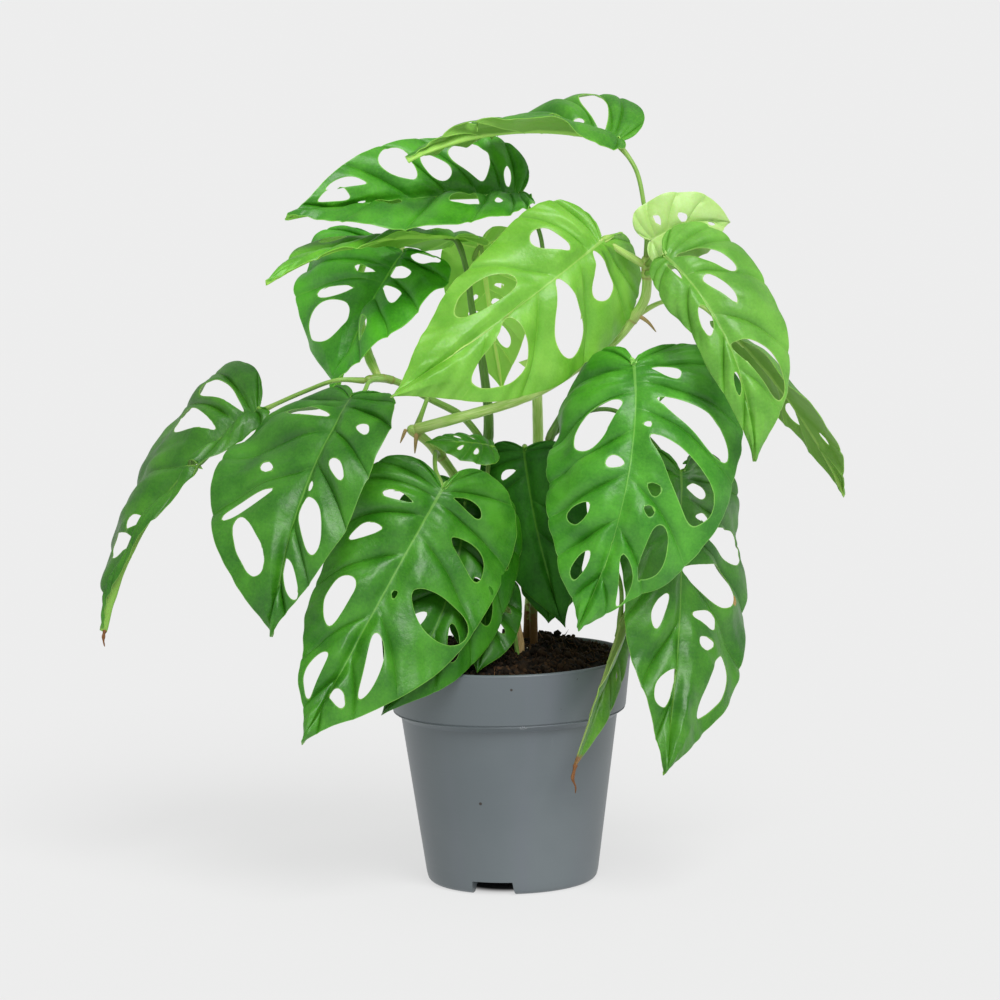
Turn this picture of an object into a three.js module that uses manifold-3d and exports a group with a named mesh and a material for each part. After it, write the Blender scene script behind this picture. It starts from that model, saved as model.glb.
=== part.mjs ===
// A swiss cheese vine (Monstera adansonii) standing in its grey nursery pot.
// Millimetres, +Z up, the viewer's side is -Y. The origin is the centre of the pot's foot.
import * as THREE from 'three';
import { mergeVertices } from 'three/addons/utils/BufferGeometryUtils.js';
import Module from 'manifold-3d';

const wasm = await Module();
wasm.setup();

// ---------------------------------------------------------------- driving dimensions
const GAP = 0.3; // between pieces that touch

// pot: a 12 cm nursery pot with a deep collar
const RIM_RADIUS = 60;
const POT_HEIGHT = 111.5;
const COLLAR_FOOT = { radius: 57.2, z: 85.8 };
const BODY_TOP = { radius: 53, z: 82.5 };
const FOOT_RADIUS = 42;
const WALL = 1.6;
const FLOOR_TOP = 4.4;
const RECESS = { inner: 12, outer: 34.5, depth: 3, slope: 1.5 };
const NOTCH = { width: 22, height: 3.8, count: 3, firstDegrees: -104 };
const DRAIN = { radius: 4, ring: 23, count: 6, sides: 8 };
const POT_SIDES = 36;

// soil
const SOIL_EDGE = { radius: 56, z: 106 };
const SOIL_CROWN = 115;
const SOIL_TILT = 3; // how much higher than its middle the soil lies at the back edge
const SOIL_LUMP = 1.1;
const SOIL_SIDES = 26;
const BURIED = 99;

// blades
const BLADE_THICK = 0.8;
const KEEL = 1.1;
const VEIN_BEND = 22; // degrees that a side vein turns towards the tip
const HALF_REACH = 0.385; // share of the length that stands for a leaf's half width
const WAVES = { turn: 19, shift: 2 }; // ripples along the margins, and how far the halves differ

// how a blade is parted into facets, in rows and shares of a vein
const SHARES = [0, 0.4, 1];
const MARGIN_STEP = 0.85;
const BAND = { longest: 1.25, beforeHole: 0.2, betweenHoles: 0.08, afterHole: 0.3, atTip: 0.6 };
const HOLE = { sides: 6, longSides: 8, long: 0.55 };

// stalks
const PETIOLE_RADIUS = 1.4;
const PETIOLE_SIDES = 6;
const STEM_SIDES = 8;
const STALK_STEPS = 7;
const INTO_BLADE = 6;

// The rows of a blade, from the notch behind the stalk to the tip: each row is a side vein.
// Where it leaves the rib, the angle it leaves at (from the tip's direction) and how far it
// reaches, the first and last as shares of the blade's length.
const ROWS = [
  [0, 176, 0.05],
  [0, 142, 0.2],
  [0.012, 112, 0.325],
  [0.06, 88, 0.385],
  [0.17, 72, 0.41],
  [0.33, 61, 0.395],
  [0.53, 50, 0.3],
  [0.76, 38, 0.155],
  [1, 24, 0],
];
const LAST_ROW = ROWS.length - 1;
const SQUARE_ANGLE = 88; // a lobe opens the rows that start behind this angle

// ---------------------------------------------------------------- small helpers
const WELD = 1e-4;
const radians = THREE.MathUtils.degToRad;
const vector = (values) => new THREE.Vector3(...values);

function solidOf(geometry) {
  const bare = geometry.clone();
  bare.deleteAttribute('normal');
  bare.deleteAttribute('uv');
  const merged = mergeVertices(bare, WELD);
  return new wasm.Manifold(new wasm.Mesh({
    numProp: 3,
    vertProperties: merged.getAttribute('position').array,
    triVerts: Uint32Array.from(merged.getIndex().array),
  }));
}

function geometryOf(solid) {
  const mesh = solid.getMesh();
  const geometry = new THREE.BufferGeometry();
  geometry.setAttribute('position', new THREE.BufferAttribute(mesh.vertProperties, 3));
  geometry.setIndex(new THREE.BufferAttribute(mesh.triVerts, 1));
  return geometry;
}

// a cut can leave crumbs, so only the main body of a solid is kept
function mainBody(solid) {
  return solid.decompose().reduce((a, b) => (a.volume() > b.volume() ? a : b));
}

function named(name, geometry, material) {
  const mesh = new THREE.Mesh(geometry, material);
  mesh.name = name;
  return mesh;
}

function roundBar(points, radius, sides, steps) {
  const corners = Array.from({ length: sides }, (_, k) => {
    const turn = (2 * Math.PI * k) / sides;
    return new THREE.Vector2(radius * Math.cos(turn), radius * Math.sin(turn));
  });
  const path = new THREE.CatmullRomCurve3(points.map(vector));
  return new THREE.ExtrudeGeometry(new THREE.Shape(corners), {
    steps,
    extrudePath: path,
    bevelEnabled: false,
  });
}

// a hole for a bar is cut with the bar's own line, let down by the clearance at its foot
function sunk([[x, y, z], ...rest], clearance) {
  return [[x, y, z - clearance], ...rest];
}

function lathed(profile, sides) {
  const points = profile.map(([radius, height]) => new THREE.Vector2(radius, height));
  return new THREE.LatheGeometry(points, sides).rotateX(Math.PI / 2);
}

// ---------------------------------------------------------------- pot
function potProfile() {
  const { inner, outer, depth, slope } = RECESS;
  const outside = [
    [0, 0],
    [inner, 0],
    [inner + slope, depth],
    [outer - slope, depth],
    [outer, 0],
    [FOOT_RADIUS - 3.5, 0],
    [FOOT_RADIUS - 1, 1],
    [FOOT_RADIUS, 4],
    [BODY_TOP.radius, BODY_TOP.z],
    [COLLAR_FOOT.radius, COLLAR_FOOT.z],
    [RIM_RADIUS, POT_HEIGHT - 0.6],
    [RIM_RADIUS - 0.6, POT_HEIGHT],
  ];
  const inside = [
    [RIM_RADIUS - 0.4 - WALL, POT_HEIGHT],
    [COLLAR_FOOT.radius - WALL, COLLAR_FOOT.z + 1],
    [BODY_TOP.radius - WALL, BODY_TOP.z + 1],
    [FOOT_RADIUS - WALL, FLOOR_TOP + 1],
    [FOOT_RADIUS - WALL - 1, FLOOR_TOP],
    [inner + slope + 1, FLOOR_TOP],
    [inner, WALL],
    [0, WALL],
  ];
  return [...outside, ...inside];
}

function makePot(material) {
  let pot = solidOf(lathed(potProfile(), POT_SIDES));
  for (let k = 0; k < NOTCH.count; k += 1) {
    const turn = radians(NOTCH.firstDegrees + (360 / NOTCH.count) * k);
    const notch = new THREE.BoxGeometry(12, NOTCH.width, 2 * NOTCH.height);
    notch.translate(FOOT_RADIUS - 1, 0, 0).rotateZ(turn);
    pot = pot.subtract(solidOf(notch));
  }
  for (let k = 0; k < DRAIN.count; k += 1) {
    const turn = (2 * Math.PI * k) / DRAIN.count;
    const drill = new THREE.CylinderGeometry(DRAIN.radius, DRAIN.radius, 4 * FLOOR_TOP, DRAIN.sides);
    drill.rotateX(Math.PI / 2).translate(DRAIN.ring * Math.cos(turn), DRAIN.ring * Math.sin(turn), FLOOR_TOP);
    pot = pot.subtract(solidOf(drill));
  }
  return named('pot', geometryOf(pot), material);
}

// ---------------------------------------------------------------- soil
function lump(x, y) {
  return Math.sin(0.31 * x + 0.9) * Math.cos(0.27 * y - 0.4) + 0.6 * Math.sin(0.53 * y - 0.37 * x);
}

function soilGeometry() {
  const { radius, z } = SOIL_EDGE;
  const crown = (share) => [radius * share, SOIL_CROWN - (SOIL_CROWN - z) * share ** 3];
  const profile = [
    [0, FLOOR_TOP + GAP],
    [FOOT_RADIUS - WALL - 1.5, FLOOR_TOP + GAP],
    [BODY_TOP.radius - WALL - 2 * GAP, BODY_TOP.z + 1],
    [COLLAR_FOOT.radius - WALL - 2 * GAP, COLLAR_FOOT.z + 1.5],
    crown(1),
    crown(0.8),
    crown(0.55),
    crown(0.3),
    [0, SOIL_CROWN],
  ];
  const geometry = lathed(profile, SOIL_SIDES);
  const position = geometry.getAttribute('position');
  for (let k = 0; k < position.count; k += 1) {
    const [x, y, height] = [position.getX(k), position.getY(k), position.getZ(k)];
    if (height > z - WELD) {
      const lumps = height > z + WELD ? SOIL_LUMP * lump(x, y) : 0;
      position.setZ(k, height + (SOIL_TILT * y) / radius + lumps);
    }
  }
  return geometry;
}

function makeSoil(holes, material) {
  let soil = solidOf(soilGeometry());
  for (const hole of holes) {
    soil = soil.subtract(hole);
  }
  return named('soil', geometryOf(soil), material);
}

// ---------------------------------------------------------------- blade
// Catmull-Rom between the rows, so that any place between two rows has its own vein
function rowAt(place) {
  const first = Math.min(Math.floor(place), LAST_ROW - 1);
  const f = place - first;
  return [0, 1, 2].map((column) => {
    const value = (k) => {
      if (k < 0) return 2 * ROWS[0][column] - ROWS[1][column];
      if (k > LAST_ROW) return 2 * ROWS[LAST_ROW][column] - ROWS[LAST_ROW - 1][column];
      return ROWS[k][column];
    };
    const [a, b, c, d] = [-1, 0, 1, 2].map((step) => value(first + step));
    const square = 2 * a - 5 * b + 4 * c - d;
    const cube = 3 * b - a - 3 * c + d;
    return 0.5 * (2 * b + (c - a) * f + square * f ** 2 + cube * f ** 3);
  });
}

// a point of the flat blade of length 1: across the rib and along it
function flatPoint(place, share, lobe) {
  const [rib, degrees, reach] = rowAt(place);
  const open = Math.min(SQUARE_ANGLE + (degrees - SQUARE_ANGLE) * lobe, ROWS[0][1]);
  const start = radians(degrees > SQUARE_ANGLE ? open : degrees);
  const bend = radians(VEIN_BEND);
  const end = start - bend * share;
  const bow = reach / bend;
  return [bow * (Math.cos(end) - Math.cos(start)), rib + bow * (Math.sin(start) - Math.sin(end))];
}

// the frame that a blade's rib bends in: arch bends it away from its face, sway sideways
function bladeFrame(leaf) {
  const base = vector(leaf.base);
  const chord = vector(leaf.tip).sub(base);
  const along = chord.clone().normalize();
  const face = vector(leaf.face);
  face.addScaledVector(along, -face.dot(along)).normalize();
  const across = face.clone().cross(along);
  const sway = leaf.sway ?? 0;
  const bend = Math.hypot(leaf.arch, sway);
  const [up, out] = [leaf.arch / bend, sway / bend];
  const turn = radians(bend);
  const drop = face.multiplyScalar(up).addScaledVector(across, out);
  const start = along.clone().multiplyScalar(Math.cos(turn / 2)).addScaledVector(drop, Math.sin(turn / 2));
  const lift = drop.clone().multiplyScalar(Math.cos(turn / 2)).addScaledVector(along, -Math.sin(turn / 2));
  return {
    base,
    start,
    lift,
    side: along.clone().cross(drop),
    up,
    out,
    turn,
    length: (chord.length() * turn) / 2 / Math.sin(turn / 2),
  };
}

// the rib's point at a share of its length, with the blade's across and face directions there
function onRib(leaf, frame, share) {
  const { base, start, lift, side, up, out, turn, length } = frame;
  const angle = turn * share;
  const radius = length / turn;
  const point = base.clone()
    .addScaledVector(start, radius * Math.sin(angle))
    .addScaledVector(lift, -radius * (1 - Math.cos(angle)));
  const risen = lift.clone().multiplyScalar(Math.cos(angle)).addScaledVector(start, Math.sin(angle));
  const face = risen.clone().multiplyScalar(up).addScaledVector(side, out);
  const across = risen.clone().multiplyScalar(out).addScaledVector(side, -up);
  const twist = radians(leaf.twist ?? 0) * share;
  const turnedAcross = across.clone().multiplyScalar(Math.cos(twist)).addScaledVector(face, Math.sin(twist));
  const turnedFace = face.clone().multiplyScalar(Math.cos(twist)).addScaledVector(across, -Math.sin(twist));
  return { point, across: turnedAcross, face: turnedFace };
}

// a point of the bent blade; side is 0 for its left half and 1 for its right
function bladePoint(leaf, frame, place, share, side) {
  const [across, along] = flatPoint(place, share, leaf.lobe[side]);
  const half = leaf.half[side];
  const width = (across * half) / HALF_REACH;
  const fold = radians(leaf.fold[side]);
  const curl = radians(leaf.curl[side]) / half;
  const lean = fold - curl * width;
  const wave = leaf.wave * (width / half) ** 2 * Math.sin(WAVES.turn * along + WAVES.shift * side);
  const out = (Math.sin(fold) - Math.sin(lean)) / curl;
  const rise = (Math.cos(lean) - Math.cos(fold)) / curl + wave;
  const rib = onRib(leaf, frame, along);
  return rib.point.addScaledVector(rib.across, side === 1 ? out : -out).addScaledVector(rib.face, rise);
}

// the rows that part one hole from the next, and others where the blade would be too coarse
function bandEdges(holes) {
  const spans = holes.map(([row, , , width]) => [row - width / 2, row + width / 2]);
  spans.sort((a, b) => a[0] - b[0]);
  const marks = [0];
  spans.forEach(([low], k) => {
    const before = Math.max(...spans.slice(0, k).map((span) => span[1]), -1);
    if (before < 0) {
      marks.push(low - BAND.beforeHole);
    } else if (low - before > BAND.betweenHoles) {
      marks.push((low + before) / 2);
    }
  });
  const last = Math.max(...spans.map((span) => span[1]));
  marks.push(Math.min(last + BAND.afterHole, LAST_ROW - BAND.atTip), LAST_ROW);
  const edges = [0];
  for (let k = 1; k < marks.length; k += 1) {
    const holed = spans.some(([low, high]) => high > marks[k - 1] && low < marks[k]);
    const parts = holed ? 1 : Math.ceil((marks[k] - marks[k - 1]) / BAND.longest);
    for (let part = 1; part <= parts; part += 1) {
      edges.push(marks[k - 1] + ((marks[k] - marks[k - 1]) * part) / parts);
    }
  }
  return edges;
}

// the two halves' rows meet the rib at the same points, so that the halves share them
class BladeSheet {
  constructor(leaf, frame) {
    this.leaf = leaf;
    this.frame = frame;
    this.points = [];
    this.flats = [];
    this.onKeel = [];
    this.index = new Map();
    this.triangles = [];
  }

  corner(place, share, side) {
    const atRib = share === 0 || place === LAST_ROW;
    const row = place <= 1 && share === 0 ? 0 : place;
    const key = atRib ? `rib ${row.toFixed(4)}` : `${side} ${row.toFixed(4)} ${share.toFixed(4)}`;
    if (!this.index.has(key)) {
      const [across, along] = flatPoint(row, atRib ? 0 : share, this.leaf.lobe[side]);
      this.index.set(key, this.points.length);
      this.points.push(bladePoint(this.leaf, this.frame, row, atRib ? 0 : share, side));
      this.flats.push(new THREE.Vector2(side === 1 ? across : -across, along));
      this.onKeel.push(atRib ? 1 - along : 0);
    }
    return this.index.get(key);
  }

  ringOf(corners) {
    return corners.filter((corner, k) => corner !== corners[(k + 1) % corners.length]);
  }

  fill(ring, holes) {
    const flat = (corner) => this.flats[corner];
    const order = [...ring, ...holes.flat()];
    const faces = THREE.ShapeUtils.triangulateShape(ring.map(flat), holes.map((hole) => hole.map(flat)));
    for (const face of faces) {
      const [a, b, c] = face.map((k) => order[k]);
      const [p, q, r] = [a, b, c].map(flat);
      const turn = (q.x - p.x) * (r.y - p.y) - (q.y - p.y) * (r.x - p.x);
      this.triangles.push(turn < 0 ? [a, b, c] : [a, c, b]);
    }
  }
}

function holeCorners(sheet, [row, inner, outer, width], side) {
  const sides = outer - inner < HOLE.long ? HOLE.sides : HOLE.longSides;
  return Array.from({ length: sides }, (_, k) => {
    const turn = (2 * Math.PI * k) / sides;
    const share = (inner + outer) / 2 + ((outer - inner) / 2) * Math.cos(turn);
    return sheet.corner(row + (width / 2) * Math.sin(turn), share, side);
  });
}

function addBand(sheet, low, high, side, ribRows, holes) {
  const rowCorners = (place) => {
    if (place === LAST_ROW) return [sheet.corner(place, 0, side)];
    const shares = place === 0 ? [0, 1] : SHARES;
    return shares.map((share) => sheet.corner(place, share, side));
  };
  const steps = Math.ceil((high - low) / MARGIN_STEP);
  const margin = Array.from({ length: steps - 1 }, (_, k) => low + ((high - low) * (k + 1)) / steps);
  const rib = ribRows.filter((place) => place > low && place < high).reverse();
  const ring = sheet.ringOf([
    ...rowCorners(low),
    ...margin.map((place) => sheet.corner(place, 1, side)),
    ...rowCorners(high).reverse(),
    ...rib.map((place) => sheet.corner(place, 0, side)),
  ]);
  sheet.fill(ring, holes.map((hole) => holeCorners(sheet, hole, side)));
}

function bladeSheet(leaf, frame) {
  const sheet = new BladeSheet(leaf, frame);
  const edges = leaf.holes.map(bandEdges);
  const ribRows = [...new Set(edges.flat())].filter((place) => place > 1).sort((a, b) => a - b);
  edges.forEach((marks, side) => {
    for (let k = 1; k < marks.length; k += 1) {
      const inBand = leaf.holes[side].filter(([row]) => row > marks[k - 1] && row < marks[k]);
      addBand(sheet, marks[k - 1], marks[k], side, ribRows, inBand);
    }
  });
  return sheet;
}

// gives the sheet its thickness: a face on each side, alike, and a wall along every open edge
function bladeSolid(leaf, frame) {
  const { points, onKeel, triangles } = bladeSheet(leaf, frame);
  const count = points.length;
  const normals = points.map(() => new THREE.Vector3());
  for (const [a, b, c] of triangles) {
    const edge = points[b].clone().sub(points[a]);
    const normal = edge.cross(points[c].clone().sub(points[a]));
    [a, b, c].forEach((corner) => normals[corner].add(normal));
  }
  normals.forEach((normal) => normal.normalize());
  const upper = points.map((point, k) => point.clone().addScaledVector(normals[k], BLADE_THICK / 2));
  const lower = points.map((point, k) => {
    return point.clone().addScaledVector(normals[k], -BLADE_THICK / 2 - KEEL * onKeel[k]);
  });
  const open = new Map();
  for (const [a, b, c] of triangles) {
    for (const [from, to] of [[a, b], [b, c], [c, a]]) {
      if (!open.delete(`${to} ${from}`)) open.set(`${from} ${to}`, [from, to]);
    }
  }
  const under = triangles.map(([a, b, c]) => [a + count, c + count, b + count]);
  const walls = [...open.values()].flatMap(([from, to]) => [
    [from, from + count, to + count],
    [from, to + count, to],
  ]);
  const geometry = new THREE.BufferGeometry();
  const corners = [...upper, ...lower].flatMap((point) => point.toArray());
  geometry.setAttribute('position', new THREE.Float32BufferAttribute(corners, 3));
  geometry.setIndex([...triangles, ...under, ...walls].flat());
  return solidOf(geometry);
}

// ---------------------------------------------------------------- leaf
// A stalk's points start on the stem that carries it and end under the rib, a little way in
function stalkPoints(leaf, frame) {
  const { point, face } = onRib(leaf, frame, 0);
  const under = PETIOLE_RADIUS;
  const joint = point.clone().addScaledVector(face, -under);
  const end = onRib(leaf, frame, INTO_BLADE / frame.length);
  const tip = end.point.addScaledVector(end.face, -under);
  return [...leaf.stalk, joint.toArray(), tip.toArray()];
}

function stalkSolid(points, clearance) {
  return solidOf(roundBar(sunk(points, clearance), PETIOLE_RADIUS + clearance, PETIOLE_SIDES, STALK_STEPS));
}

function makeLeaf(leaf, stems, material) {
  const frame = bladeFrame(leaf);
  const stalk = stalkPoints(leaf, frame);
  const whole = bladeSolid(leaf, frame).add(stalkSolid(stalk, 0));
  const cut = leaf.on === 'soil' ? whole : mainBody(whole.subtract(stemSolid(stems[leaf.on], GAP)));
  return named(leaf.name, geometryOf(cut), material);
}

// ---------------------------------------------------------------- stems
// Each stem is listed by its middle lines, from the buried foot to the growing end. Twigs are
// the aerial roots and dry spikes at its knots: a radius and a line.
const STEMS = {
  stem_main: {
    radius: 2.7,
    steps: 16,
    lines: [
      [
        [2, 0, BURIED], [2, 0, 118], [-3, 2, 148], [-12, 0, 180], [-24, -4, 201], [-36, -11, 218],
        [-46, -16, 227],
      ],
      [
        [-44, -15, 225], [-25, -16, 230], [-7, -12, 234], [8, -8, 238], [20, -6, 243], [38, -6, 254],
        [55, -8, 266], [65, -10, 278], [70, -12, 287], [71, -14, 297], [71, -16, 308],
      ],
    ],
    twigs: [
      [0.8, [[-42, -17, 224], [-43, -18, 214]]],
      [0.7, [[-47, -16, 226], [-50, -16, 219]]],
      [0.8, [[65, -10, 279], [71, -12, 275], [75, -13, 270]]],
    ],
  },
  stem_left: {
    radius: 2,
    steps: 18,
    lines: [
      [
        [3, 11, BURIED], [2, 11, 130], [-1, 12, 165], [-6, 14, 196], [-10, 14, 214], [-20, 12, 228],
        [-35, 10, 237], [-50, 6, 246], [-60, 2, 249], [-67, 0, 248],
      ],
    ],
    twigs: [],
  },
  stem_back: {
    radius: 2.9,
    steps: 10,
    lines: [[[9, 17, BURIED], [12, 18, 140], [16, 19, 180], [17, 18, 215], [17, 14, 240], [17, 12, 268]]],
    twigs: [],
  },
  stem_right: {
    radius: 2.1,
    steps: 12,
    lines: [[[13, 7, BURIED], [13, 6, 130], [15, 2, 160], [19, -7, 200], [23, -15, 221], [39, -26, 247]]],
    twigs: [[0.7, [[37, -25, 243], [42, -27, 238]]]],
  },
  dry_stump: {
    radius: 2.2,
    steps: 3,
    lines: [[[6, -8, BURIED], [6, -8, 118], [4, -7, 131]]],
    twigs: [],
  },
};

function stemSolid({ radius, steps, lines, twigs }, clearance) {
  const bars = [
    ...lines.map((line) => roundBar(sunk(line, clearance), radius + clearance, STEM_SIDES, steps)),
    ...twigs.map(([thick, line]) => roundBar(line, thick + clearance, PETIOLE_SIDES, 2)),
  ];
  return bars.map(solidOf).reduce((whole, bar) => whole.add(bar));
}

// ---------------------------------------------------------------- leaves
// base and tip are the rib's ends; face is the way that the upper side looks; half, lobe, fold,
// curl and holes are given for the left half and then the right, seen from the face with the tip
// down. A hole is its row, its inner and outer ends as shares of the vein, and its width in rows.
const LEAVES = [
  {
    name: 'leaf_crown',
    on: 'stem_main',
    stalk: [[71, -16, 306], [71, -19, 318], [70, -17, 332], [66, -13, 350]],
    base: [57, -10, 363],
    tip: [-43, -45, 358],
    face: [0.01, -0.16, 0.99],
    half: [48, 18],
    arch: 37,
    sway: -20,
    twist: 68,
    fold: [37, 4],
    curl: [45, 18],
    lobe: [0.93, 0.42],
    wave: 1,
    holes: [
      [[3.2, 0.3, 0.8, 0.7], [4.4, 0.25, 0.65, 0.4], [5.4, 0.25, 0.6, 0.4], [6.4, 0.2, 0.5, 0.3]],
      [[3.3, 0.3, 0.7, 0.5], [4.4, 0.25, 0.7, 0.5], [5.5, 0.25, 0.6, 0.4]],
    ],
  },
  {
    name: 'leaf_upper_left',
    on: 'stem_back',
    stalk: [[17, 12, 262], [21, 18, 290], [20, 20, 316]],
    base: [10, 12, 336],
    tip: [-102, -28, 330],
    face: [0.06, -0.31, 0.95],
    half: [34, 45],
    arch: 5,
    sway: -22,
    twist: -28,
    fold: [37, 21],
    curl: [10, 15],
    lobe: [0.5, 0.42],
    wave: 1,
    holes: [
      [[2.65, 0.12, 0.44, 0.34], [3.58, 0.18, 0.82, 0.72], [4.45, 0.24, 0.66, 0.41],
        [5.05, 0.3, 0.85, 0.49], [6.18, 0.54, 0.83, 0.37], [6.5, 0.08, 0.22, 0.2],
        [6.7, 0.32, 0.78, 0.33]],
      [[3.23, 0.4, 0.64, 0.21], [4.12, 0.12, 0.62, 0.55], [5.9, 0.12, 0.5, 0.51]],
    ],
  },
  {
    name: 'leaf_arching_left',
    on: 'stem_left',
    stalk: [[-8, 14, 207], [-7, 8, 228], [-9, 3, 252], [-14, 1, 283], [-16, 4, 300]],
    base: [-21, 8, 316],
    tip: [-112, -40, 300],
    face: [-0.23, 0.12, 0.97],
    half: [36, 14],
    arch: 39,
    sway: 10,
    twist: -23,
    fold: [2, 9],
    curl: [20, 20],
    lobe: [0.54, 1.1],
    wave: 1,
    holes: [
      [[3.4, 0.3, 0.7, 0.45], [4.6, 0.25, 0.65, 0.45], [5.8, 0.25, 0.6, 0.35]],
      [[3.2, 0.3, 0.7, 0.45], [4.3, 0.25, 0.65, 0.45], [5.5, 0.25, 0.6, 0.35]],
    ],
  },
  {
    name: 'leaf_hanging_left',
    on: 'stem_left',
    stalk: [[-60, 2, 249], [-65, 14, 259], [-69, 34, 276], [-69, 47, 295], [-62, 52, 308], [-52, 45, 310]],
    base: [-47, 32, 307],
    tip: [-81, 10, 242],
    face: [-0.5, -0.71, 0.5],
    half: [60, 41],
    arch: 35,
    sway: -4,
    twist: 22,
    fold: [9, 13],
    curl: [20, 20],
    lobe: [0.42, 0.52],
    wave: 1.5,
    holes: [
      [[4.15, 0.1, 0.28, 0.25], [4.83, 0.24, 0.7, 0.3], [5.75, 0.14, 0.87, 1]],
      [[1.83, 0.22, 0.84, 1], [3.78, 0.12, 0.4, 0.64], [4.53, 0.2, 0.66, 0.38],
        [5.78, 0.26, 0.68, 0.38]],
    ],
  },
  {
    name: 'leaf_centre',
    on: 'stem_main',
    stalk: [[71, -15, 302], [62, -18, 308]],
    base: [49, -27, 316],
    tip: [-53, -78, 249],
    face: [0.37, -0.92, 0.15],
    half: [36, 49],
    arch: 30,
    sway: 1,
    twist: 17,
    fold: [-15, -15],
    curl: [20, 15],
    lobe: [0.45, 1.19],
    wave: 1.5,
    holes: [
      [[3.62, 0.18, 0.64, 0.47], [5.3, 0.24, 0.72, 1]],
      [[2.95, 0.12, 0.52, 0.77], [4.3, 0.12, 0.8, 0.68], [5.78, 0.12, 0.87, 0.81]],
    ],
  },
  {
    name: 'leaf_behind_centre',
    on: 'stem_main',
    stalk: [[-42, -14, 226], [-36, 2, 240], [-28, 18, 261], [-18, 31, 290]],
    base: [-9, 31, 309],
    tip: [0, 15, 240],
    face: [0, 1, 0.1],
    half: [22, 22],
    arch: -20,
    fold: [0, 0],
    curl: [20, 20],
    lobe: [1, 1],
    wave: 1.5,
    holes: [
      [[4.43, 0.16, 0.38, 0.3], [5.15, 0.12, 0.3, 0.34], [6.15, 0.12, 0.64, 0.59]],
      [[4.68, 0.22, 0.46, 0.31], [5.18, 0.26, 0.58, 0.38]],
    ],
  },
  {
    name: 'leaf_young',
    on: 'stem_main',
    stalk: [[71, -16, 303], [73, -22, 306], [74, -25, 311]],
    base: [73, -26, 316],
    tip: [112, -8, 322],
    face: [0.24, -0.74, 0.62],
    half: [20, 18],
    arch: 52,
    sway: 17,
    twist: 7,
    fold: [0, 41],
    curl: [20, 16],
    lobe: [1, 0.71],
    wave: 1,
    holes: [
      [[3.6, 0.25, 0.55, 0.3], [5, 0.25, 0.55, 0.3], [6.2, 0.2, 0.45, 0.25]],
      [[3.48, 0.22, 0.56, 0.47], [5.08, 0.12, 0.42, 0.64]],
    ],
  },
  {
    name: 'leaf_upper_right',
    on: 'stem_main',
    stalk: [[71, -15, 299], [72, -33, 301]],
    base: [79, -50, 310],
    tip: [118, -75, 214],
    face: [0.11, -0.95, 0.29],
    half: [16, 40],
    arch: 52,
    sway: 37,
    twist: -12,
    fold: [-12, 0],
    curl: [36, 45],
    lobe: [0.42, 0.85],
    wave: 1,
    holes: [
      [[3.08, 0.08, 0.25, 0.89], [4.78, 0.12, 0.5, 0.55], [6.28, 0.12, 0.5, 0.38]],
      [[2.95, 0.12, 0.64, 0.93], [4.23, 0.12, 0.34, 0.64], [5.88, 0.12, 0.87, 0.72]],
    ],
  },
  {
    name: 'leaf_far_right',
    on: 'stem_main',
    stalk: [[65, -10, 278], [80, -4, 284], [97, 2, 281]],
    base: [114, 0, 266],
    tip: [167, 20, 183],
    face: [0.75, 0.35, 0.57],
    half: [27, 16],
    arch: 16,
    sway: -22,
    twist: -25,
    fold: [-8, -2],
    curl: [20, 20],
    lobe: [1.04, 1.03],
    wave: 2,
    holes: [
      [[6.3, 0.22, 0.46, 0.25]],
      [[5.33, 0.2, 0.7, 0.55]],
    ],
  },
  {
    name: 'leaf_middle_right',
    on: 'stem_right',
    stalk: [[37, -25, 244], [46, -34, 257]],
    base: [63, -50, 258],
    tip: [33, -75, 136],
    face: [-0.3, -0.92, 0.26],
    half: [56, 59],
    arch: 52,
    sway: 47,
    twist: -18,
    fold: [-12, -12],
    curl: [45, 45],
    lobe: [1.15, 0.85],
    wave: 1.5,
    holes: [
      [[3.93, 0.12, 0.6, 0.81], [5.1, 0.08, 0.26, 0.25], [5.73, 0.36, 0.72, 0.3],
        [6.65, 0.34, 0.78, 0.34]],
      [[2.5, 0.16, 0.4, 0.42], [3.68, 0.18, 0.87, 0.47], [4.3, 0.08, 0.21, 0.2],
        [4.73, 0.16, 0.87, 0.64], [5.3, 0.2, 0.34, 0.18], [5.65, 0.2, 0.38, 0.18],
        [5.95, 0.42, 0.78, 0.68], [6.65, 0.26, 0.87, 0.34]],
    ],
  },
  {
    name: 'leaf_lower_right',
    on: 'stem_right',
    stalk: [[23, -15, 221], [37, -14, 231], [54, -10, 232], [70, -14, 219], [78, -22, 210]],
    base: [85, -32, 204],
    tip: [73, -84, 66],
    face: [0.75, -0.64, 0.17],
    half: [35, 64],
    arch: 4,
    sway: 14,
    twist: 11,
    fold: [-11, -6],
    curl: [19, 17],
    lobe: [0.64, 0.73],
    wave: 1.5,
    holes: [
      [[5.15, 0.34, 0.64, 0.42], [6.53, 0.12, 0.8, 0.64]],
      [[2.85, 0.12, 0.34, 0.42], [3.62, 0.39, 0.74, 0.21], [4.68, 0.13, 0.65, 0.58],
        [5.33, 0.16, 0.46, 0.25], [5.73, 0.24, 0.44, 0.2], [5.95, 0.51, 0.83, 0.9]],
    ],
  },
  {
    name: 'leaf_front',
    on: 'stem_main',
    stalk: [[-32, -9, 212], [-33, -24, 215], [-33, -36, 209]],
    base: [-30, -46, 200],
    tip: [-99, -86, 85],
    face: [0.28, -0.95, 0.16],
    half: [40, 51],
    arch: 4,
    sway: -2,
    twist: 33,
    fold: [-3, -5],
    curl: [45, 13],
    lobe: [0.51, 1.12],
    wave: 1.5,
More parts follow.
